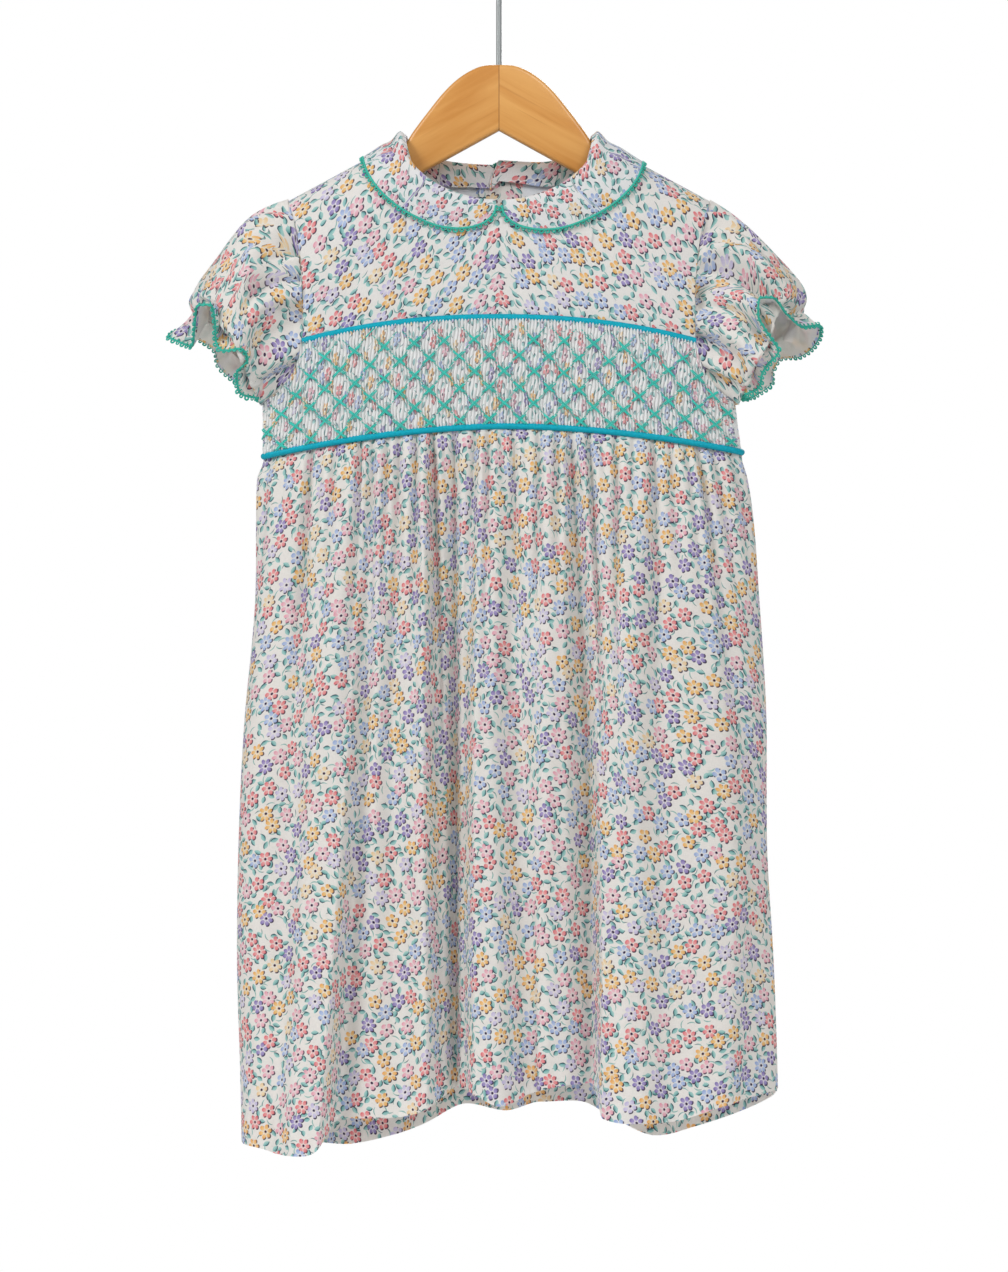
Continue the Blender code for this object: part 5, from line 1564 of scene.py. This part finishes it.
class StudioSettings(bpy.types.PropertyGroup):
    """The lights and the camera."""

    key_power: FloatProperty(
        name="Key light", description="Power of the large soft light", unit="POWER", default=60.5, min=0, max=1000
    )
    fill: FloatProperty(name="Fill", description="Strength of the even light all round", default=0.37, min=0, max=5)
    camera_distance: FloatProperty(
        name="Camera distance", description="From the lens to the dress", subtype="DISTANCE", unit="LENGTH",
        default=4.0, min=1, max=20,
    )  # fmt: skip


class DRESS_OT_hanger(bpy.types.Operator):
    """Build the two wooden halves of the hanger, with eased edges"""

    bl_idname = "dress.hanger"
    bl_label = "Wooden hanger"

    def execute(self, context):
        for side, node in ((-1, "hanger_left"), (1, "hanger_right")):
            reach = np.concatenate([np.linspace(0, 10, 6), np.linspace(12, ARM_REACH - 6, 54)])
            table = [*CROWN, *[(x, shoulder_z(x) - ARM_CLEARANCE) for x in (64.0, 80.0, 100.0, ARM_REACH - 6)]]
            outline = list(zip(reach, course(table, reach, 1), strict=True))
            tip = shoulder_z(ARM_REACH) - ARM_CLEARANCE
            for degrees in np.linspace(80, -80, 12):
                angle = math.radians(degrees)
                outline.append((ARM_REACH - 5.5 + 7 * math.cos(angle), tip - 10.5 + 8.5 * math.sin(angle)))
            for x in (100.0, 80.0, 60.0, 40.0, 20.0, 0.0):
                outline.append((x, NOTCH_TOP - NOTCH_SLOPE * x))
            mesh = bpy.data.meshes.new(f"{node}_wood")
            shape = bmesh.new()
            front = shape.faces.new(
                [shape.verts.new((0.001 * side * x, -0.0005 * WOOD_THICK, 0.001 * z)) for x, z in outline]
            )
            moved = bmesh.ops.extrude_face_region(shape, geom=[front])["geom"]
            moved = [item for item in moved if isinstance(item, bmesh.types.BMVert)]
            bmesh.ops.translate(shape, verts=moved, vec=(0.0, 0.001 * WOOD_THICK, 0.0))
            bmesh.ops.recalc_face_normals(shape, faces=shape.faces)
            rims = [
                line
                for line in shape.edges
                if abs(line.verts[0].co.y - line.verts[1].co.y) < 1e-6
                and max(abs(spot.co.x) for spot in line.verts) > 0.0002
            ]
            bmesh.ops.bevel(
                shape, geom=rims, offset=0.001 * WOOD_EDGE, segments=5, profile=0.5, affect="EDGES", clamp_overlap=True
            )
            shape.to_mesh(mesh)
            shape.free()
            mesh.materials.append(finish_for(f"varnished_beech_{'left' if side < 0 else 'right'}"))
            mesh.shade_smooth()
            mesh.set_sharp_from_angle(angle=math.radians(35))
            worn(placed(f"{node}_wood", mesh), "hanger_wood", node)
        return {"FINISHED"}


class DRESS_OT_hook(bpy.types.Operator):
    """Build the steel hook, from the wood up and over the rail"""

    bl_idname = "dress.hook"
    bl_label = "Hook"

    def execute(self, context):
        wire = 1000 * context.scene.dress_hanger.wire_radius
        radius = HOOK_INNER_RADIUS + wire
        start, end = (math.radians(angle) for angle in HOOK_TURN)
        join = (radius * math.cos(start), radius * math.sin(start) - HOOK_INNER_RADIUS)
        stem_top = join[1] - HOOK_LEAN_HEIGHT
        below = (join[0] + HOOK_LEAN_PULL * math.sin(start), join[1] - HOOK_LEAN_PULL * math.cos(start))
        handles = np.array([(0.0, stem_top), (0.0, stem_top + HOOK_LEAN_PULL), below, join])
        share = np.linspace(0, 1, 25)[:-1, None]
        weights = np.hstack([(1 - share) ** 3, 3 * share * (1 - share) ** 2, 3 * share**2 * (1 - share), share**3])
        lean = weights @ handles
        turn = np.linspace(start, end, 81)
        bow = np.stack([radius * np.cos(turn), radius * np.sin(turn) - HOOK_INNER_RADIUS], axis=-1)
        stem = np.stack([np.zeros(12), np.linspace(WOOD_TOP - 1.0, stem_top, 13)[:-1]], axis=-1)
        flat = np.concatenate([stem, lean, bow])
        points = np.stack([flat[:, 0], np.zeros(len(flat)), flat[:, 1]], axis=-1)
        worn(cord_piece("hook_wire", [points], wire, finish_for("hook_wire"), sides=20), "hook_steel", "hanger_hook")
        return {"FINISHED"}


class DRESS_OT_bodice(bpy.types.Operator):
    """Build the front yoke and the two overlapping back halves"""

    bl_idname = "dress.bodice"
    bl_label = "Bodice"

    def execute(self, context):
        thick = 1000 * context.scene.smocked_dress.cloth_thickness
        finishes = [finish_for("printed_cotton"), finish_for("bodice_lining")]
        face, plan = front_yoke()
        yoke = shell("yoke_cloth", face, plan, thick, finishes, turned=True)
        worn(yoke, "floral_cotton", "front_yoke")
        for side, node, drop in ((-1, "back_left", 0.0), (1, "back_right", UNDERLAP_DROP)):
            face, plan = back_half(side, drop)
            placket = np.abs(face[0, :, 0]) < 14.0

            def inside(row, column, strip=placket):
                return np.where(strip[column], 0, 1)

            half = shell(f"{node}_cloth", face, plan, thick, finishes, turned=side < 0, inside=inside)
            worn(half, "floral_cotton", node)
        return {"FINISHED"}


class DRESS_OT_smocking(bpy.types.Operator):
    """Build the pleated panel and the lattice of thread that holds it"""

    bl_idname = "dress.smocking"
    bl_label = "Smocking"

    def execute(self, context):
        finishes = [finish_for("pleated_cotton"), finish_for("bodice_lining")]
        face, plan, behind = smocked_face()
        panel = shell("smocked_cloth", face, plan, 1.0, finishes, turned=True, lining=behind)
        worn(panel, "smocked_cotton", "smocked_panel")
        slants, stars = smocking_lines()
        thread = finish_for("smocking_thread")
        slanting = worn(cord_piece("lattice_stitches", slants, 0.26, thread, sides=5), "teal_thread")
        starred = worn(cord_piece("star_stitches", stars, 0.42, thread, sides=6), "teal_thread")
        return {"FINISHED"}


class DRESS_OT_piping(bpy.types.Operator):
    """Build the two corded seams above and below the smocking"""

    bl_idname = "dress.piping"
    bl_label = "Piping"

    def execute(self, context):
        finish = finish_for("piping_cotton")
        x = np.linspace(-UPPER_SEAM_HALF, UPPER_SEAM_HALF, 160)
        upper = np.stack([x, -0.2 - chest_out(x), upper_seam_z(x)], axis=-1)
        worn(cord_piece("upper_piping_cord", [upper], PIPING_RADIUS, finish, sides=14), "teal_piping", "upper_piping")
        left, right = (float(course(SILHOUETTE, WAIST_Z, side)) for side in (1, 2))
        ring = half_ring(left, right, CHEST_DEPTH[False] + 0.6, CHEST_ROUNDNESS)
        x, out = on_ring(ring, np.linspace(0, ring[2][-1], 200), 0.0)
        lower = np.stack([x, -np.maximum(PIPING_RADIUS + 0.2, out + 0.4), lower_seam_z(x)], axis=-1)
        worn(cord_piece("lower_piping_cord", [lower], PIPING_RADIUS, finish, sides=14), "teal_piping", "lower_piping")
        return {"FINISHED"}


class DRESS_OT_skirt(bpy.types.Operator):
    """Build the gathered skirt, front and back, with its turned-up hem"""

    bl_idname = "dress.skirt"
    bl_label = "Skirt"

    def execute(self, context):
        thick = 1000 * context.scene.smocked_dress.cloth_thickness
        finishes = [finish_for("printed_cotton"), finish_for("cotton_reverse")]

        def inside(row, column):
            return np.where(np.linspace(0, 1, 91)[row] ** 1.35 > HEM_TURN_UP, 0, 1)

        face, plan = skirt_face(FRONT_FOLDS, FRONT_GATHERS, 1, 71)
        face = face * np.array([1.0, -1.0, 1.0])
        front = shell("skirt_front_cloth", face, plan, thick, finishes, turned=True, inside=inside)
        worn(front, "floral_cotton", "skirt_front")
        face, plan = skirt_face(BACK_FOLDS, seeded_gathers(83), 2, 81)
        back = shell("skirt_back_cloth", face, plan + 37.0, thick, finishes, inside=inside)
        worn(back, "floral_cotton", "skirt_back")
        return {"FINISHED"}


class DRESS_OT_collar(bpy.types.Operator):
    """Build both collar pieces with their stands and picot edging"""

    bl_idname = "dress.collar"
    bl_label = "Collar"

    def execute(self, context):
        spacing = 1000 * context.scene.smocked_dress.picot_spacing
        finish = finish_for("collar_cotton")
        for side, word in ((-1, "left"), (1, "right")):
            face, plan = collar_face(side)
            piece = shell(f"collar_{word}_cloth", face, plan, 1.1, [finish, finish], turned=side < 0)
            worn(piece, "floral_cotton", f"collar_{word}")
            rim = np.concatenate([face[:, -1], face[-1, -2:COLLAR_ROLL:-1]])
            inner = np.concatenate([face[:, -4], face[-4, -2:COLLAR_ROLL:-1]])
            trims = edging_pieces(f"collar_{word}_picot", rim, inner, spacing, False, side)
            worn(trims[0], "teal_thread", f"collar_edging_{word}")
            for trim in trims[1:]:
                worn(trim, "teal_thread")
        return {"FINISHED"}


class DRESS_OT_sleeves(bpy.types.Operator):
    """Build the puffed sleeves with their ruffles and picot edging"""

    bl_idname = "dress.sleeves"
    bl_label = "Sleeves"

    def execute(self, context):
        dress = context.scene.smocked_dress
        thick, spacing = 1000 * dress.cloth_thickness, 1000 * dress.picot_spacing
        finishes = [finish_for("printed_cotton"), finish_for("cotton_reverse")]
        for side, word in ((-1, "left"), (1, "right")):
            face, plan = sleeve_face(side)
            last = len(face) - 4

            def inside(row, column, start=last):
                return np.where(row > start, 0, 1)

            piece = shell(f"sleeve_{word}_cloth", face, plan, thick, finishes, True, side < 0, inside)
            worn(piece, "floral_cotton", f"sleeve_{word}")
            trims = edging_pieces(f"sleeve_{word}_picot", face[-1], face[-4], spacing, True, side)
            worn(trims[0], "teal_thread", f"sleeve_edging_{word}")
            for trim in trims[1:]:
                worn(trim, "teal_thread")
        return {"FINISHED"}


class DRESS_OT_buttons(bpy.types.Operator):
    """Build the four pearl buttons of the back opening"""

    bl_idname = "dress.buttons"
    bl_label = "Buttons"

    def execute(self, context):
        profile = [(0.0, 1.1), (2.6, 1.1), (3.4, 1.35), (4.2, 1.85), (4.9, 2.1), (5.3, 1.9), (5.5, 1.3), (5.3, 0.5), (4.6, 0.1), (0.0, 0.0)]
        for number, height in enumerate(BUTTON_HEIGHTS, start=1):
            shape = bmesh.new()
            line = [shape.verts.new((0.001 * out, 0.001 * up, 0.0)) for out, up in profile]
            edges = [shape.edges.new(pair) for pair in zip(line, line[1:], strict=False)]
            bmesh.ops.spin(
                shape, geom=line + edges, cent=(0, 0, 0), axis=(0, 1, 0), angle=2 * math.pi, steps=48, use_duplicate=False
            )
            bmesh.ops.remove_doubles(shape, verts=shape.verts, dist=1e-6)
            bmesh.ops.recalc_face_normals(shape, faces=shape.faces)
            base = (0.0, 0.001 * (CHEST_DEPTH[True] + 0.7), 0.001 * height)
            bmesh.ops.translate(shape, verts=shape.verts, vec=base)
            mesh = bpy.data.meshes.new(f"button_{number}_pearl")
            shape.to_mesh(mesh)
            shape.free()
            mesh.materials.append(finish_for("button_pearl"))
            mesh.shade_smooth()
            mesh.set_sharp_from_angle(angle=math.radians(45))
            worn(placed(f"button_{number}_pearl", mesh), "button_shell", f"button_{number}")
            lift = 1000 * base[1] + 1.0
            lines = [np.array([(a, lift, height + b), (0, lift + 0.9, height), (-a, lift, height - b)]) for a, b in ((1.3, 1.3), (1.3, -1.3))]
            worn(cord_piece(f"button_{number}_thread", lines, 0.3, finish_for("cotton_reverse"), sides=6), "button_shell")
        return {"FINISHED"}


class DRESS_OT_studio(bpy.types.Operator):
    """Build the pale floor, the soft lights and the camera"""

    bl_idname = "dress.studio"
    bl_label = "Studio"

    def execute(self, context):
        studio = context.scene.dress_studio
        mesh = bpy.data.meshes.new("floor")
        shape = bmesh.new()
        bmesh.ops.create_circle(shape, cap_ends=True, radius=1.25, segments=96)
        bmesh.ops.translate(shape, verts=shape.verts, vec=(0.0, 0.0, FLOOR_Z))
        shape.to_mesh(mesh)
        shape.free()
        made, tree, shader = new_material("studio_floor")
        where = add_node(tree, "ShaderNodeTexCoord").outputs["Object"]
        grain = add_node(tree, "ShaderNodeTexNoise", inputs={"Vector": where, "Scale": 60.0, "Detail": 3.0})
        tone = add_node(tree, "ShaderNodeMapRange", inputs={"Value": grain.outputs["Fac"], "To Min": 0.86, "To Max": 0.9})
        tree.links.new(tone.outputs[0], shader.inputs["Base Color"])
        shader.inputs["Roughness"].default_value = 0.95
        mesh.materials.append(made)
        placed("floor", mesh)

        world = bpy.data.worlds.new("studio")
        context.scene.world = world
        world.use_nodes = True
        around = world.node_tree
        around.nodes.clear()
        path = add_node(around, "ShaderNodeLightPath")
        strength = add_node(
            around, "ShaderNodeMapRange", inputs={"Value": path.outputs["Is Camera Ray"], "To Min": studio.fill, "To Max": 1.0}
        )
        shine = add_node(
            around, "ShaderNodeBackground", inputs={"Color": linear("FFFFFF"), "Strength": strength.outputs[0]}
        )
        add_node(around, "ShaderNodeOutputWorld", inputs={"Surface": shine.outputs[0]})

        for name, spot, size, power in (
            ("key", (-2.3, -1.9, 1.3), 1.3, studio.key_power),
            ("front", (1.2, -2.3, 1.3), 1.3, 0.6 * studio.key_power),
            ("rear", (0.6, 2.8, 0.9), 1.8, 0.95 * studio.key_power),
        ):
            lamp = bpy.data.lights.new(name, "AREA")
            lamp.energy = power
            lamp.size = size
            lit = placed(name, lamp)
            lit.location = spot
            aim = Matrix.Translation((0.0, 0.0, -0.4)).translation - lit.location
            lit.rotation_euler = aim.to_track_quat("-Z", "Y").to_euler()

        camera = bpy.data.cameras.new("camera")
        camera.sensor_width = 36.0
        camera.lens = 36.0 * studio.camera_distance / PHOTO_HEIGHT
        seen = placed("camera", camera)
        seen.location = (PHOTO_MIDDLE[0], -0.02 - studio.camera_distance, PHOTO_MIDDLE[1])
        seen.rotation_euler = (0.5 * math.pi, 0.0, 0.0)
        context.scene.camera = seen
        context.scene.view_settings.view_transform = "Standard"
        return {"FINISHED"}


OPERATORS = (
    DRESS_OT_studio,
    DRESS_OT_hanger,
    DRESS_OT_hook,
    DRESS_OT_bodice,
    DRESS_OT_smocking,
    DRESS_OT_piping,
    DRESS_OT_skirt,
    DRESS_OT_collar,
    DRESS_OT_sleeves,
    DRESS_OT_buttons,
)


class DRESS_PT_panel(bpy.types.Panel):
    """Lists the dress's pieces and settings"""

    bl_idname = "DRESS_PT_panel"
    bl_label = "Smocked dress"
    bl_space_type = "VIEW_3D"
    bl_region_type = "UI"
    bl_category = "Smocked dress"

    def draw(self, context):
        for operator in OPERATORS:
            self.layout.operator(operator.bl_idname)
        for group in (context.scene.smocked_dress, context.scene.dress_hanger, context.scene.dress_studio):
            for label in group.__annotations__:
                self.layout.prop(group, label)


SETTINGS = {"smocked_dress": DressSettings, "dress_hanger": HangerSettings, "dress_studio": StudioSettings}


def register():
    for made in (*SETTINGS.values(), *OPERATORS, DRESS_PT_panel):
        bpy.utils.register_class(made)
    for label, group in SETTINGS.items():
        setattr(bpy.types.Scene, label, PointerProperty(type=group))


def unregister():
    for label in SETTINGS:
        delattr(bpy.types.Scene, label)
    for made in (DRESS_PT_panel, *reversed(OPERATORS), *reversed(SETTINGS.values())):
        bpy.utils.unregister_class(made)


def main():
    register()
    for operator in OPERATORS:
        group, name = operator.bl_idname.split(".")
        if getattr(getattr(bpy.ops, group), name)() != {"FINISHED"}:
            raise RuntimeError(f"{operator.bl_label} could not be built")


if __name__ == "__main__":
    main()
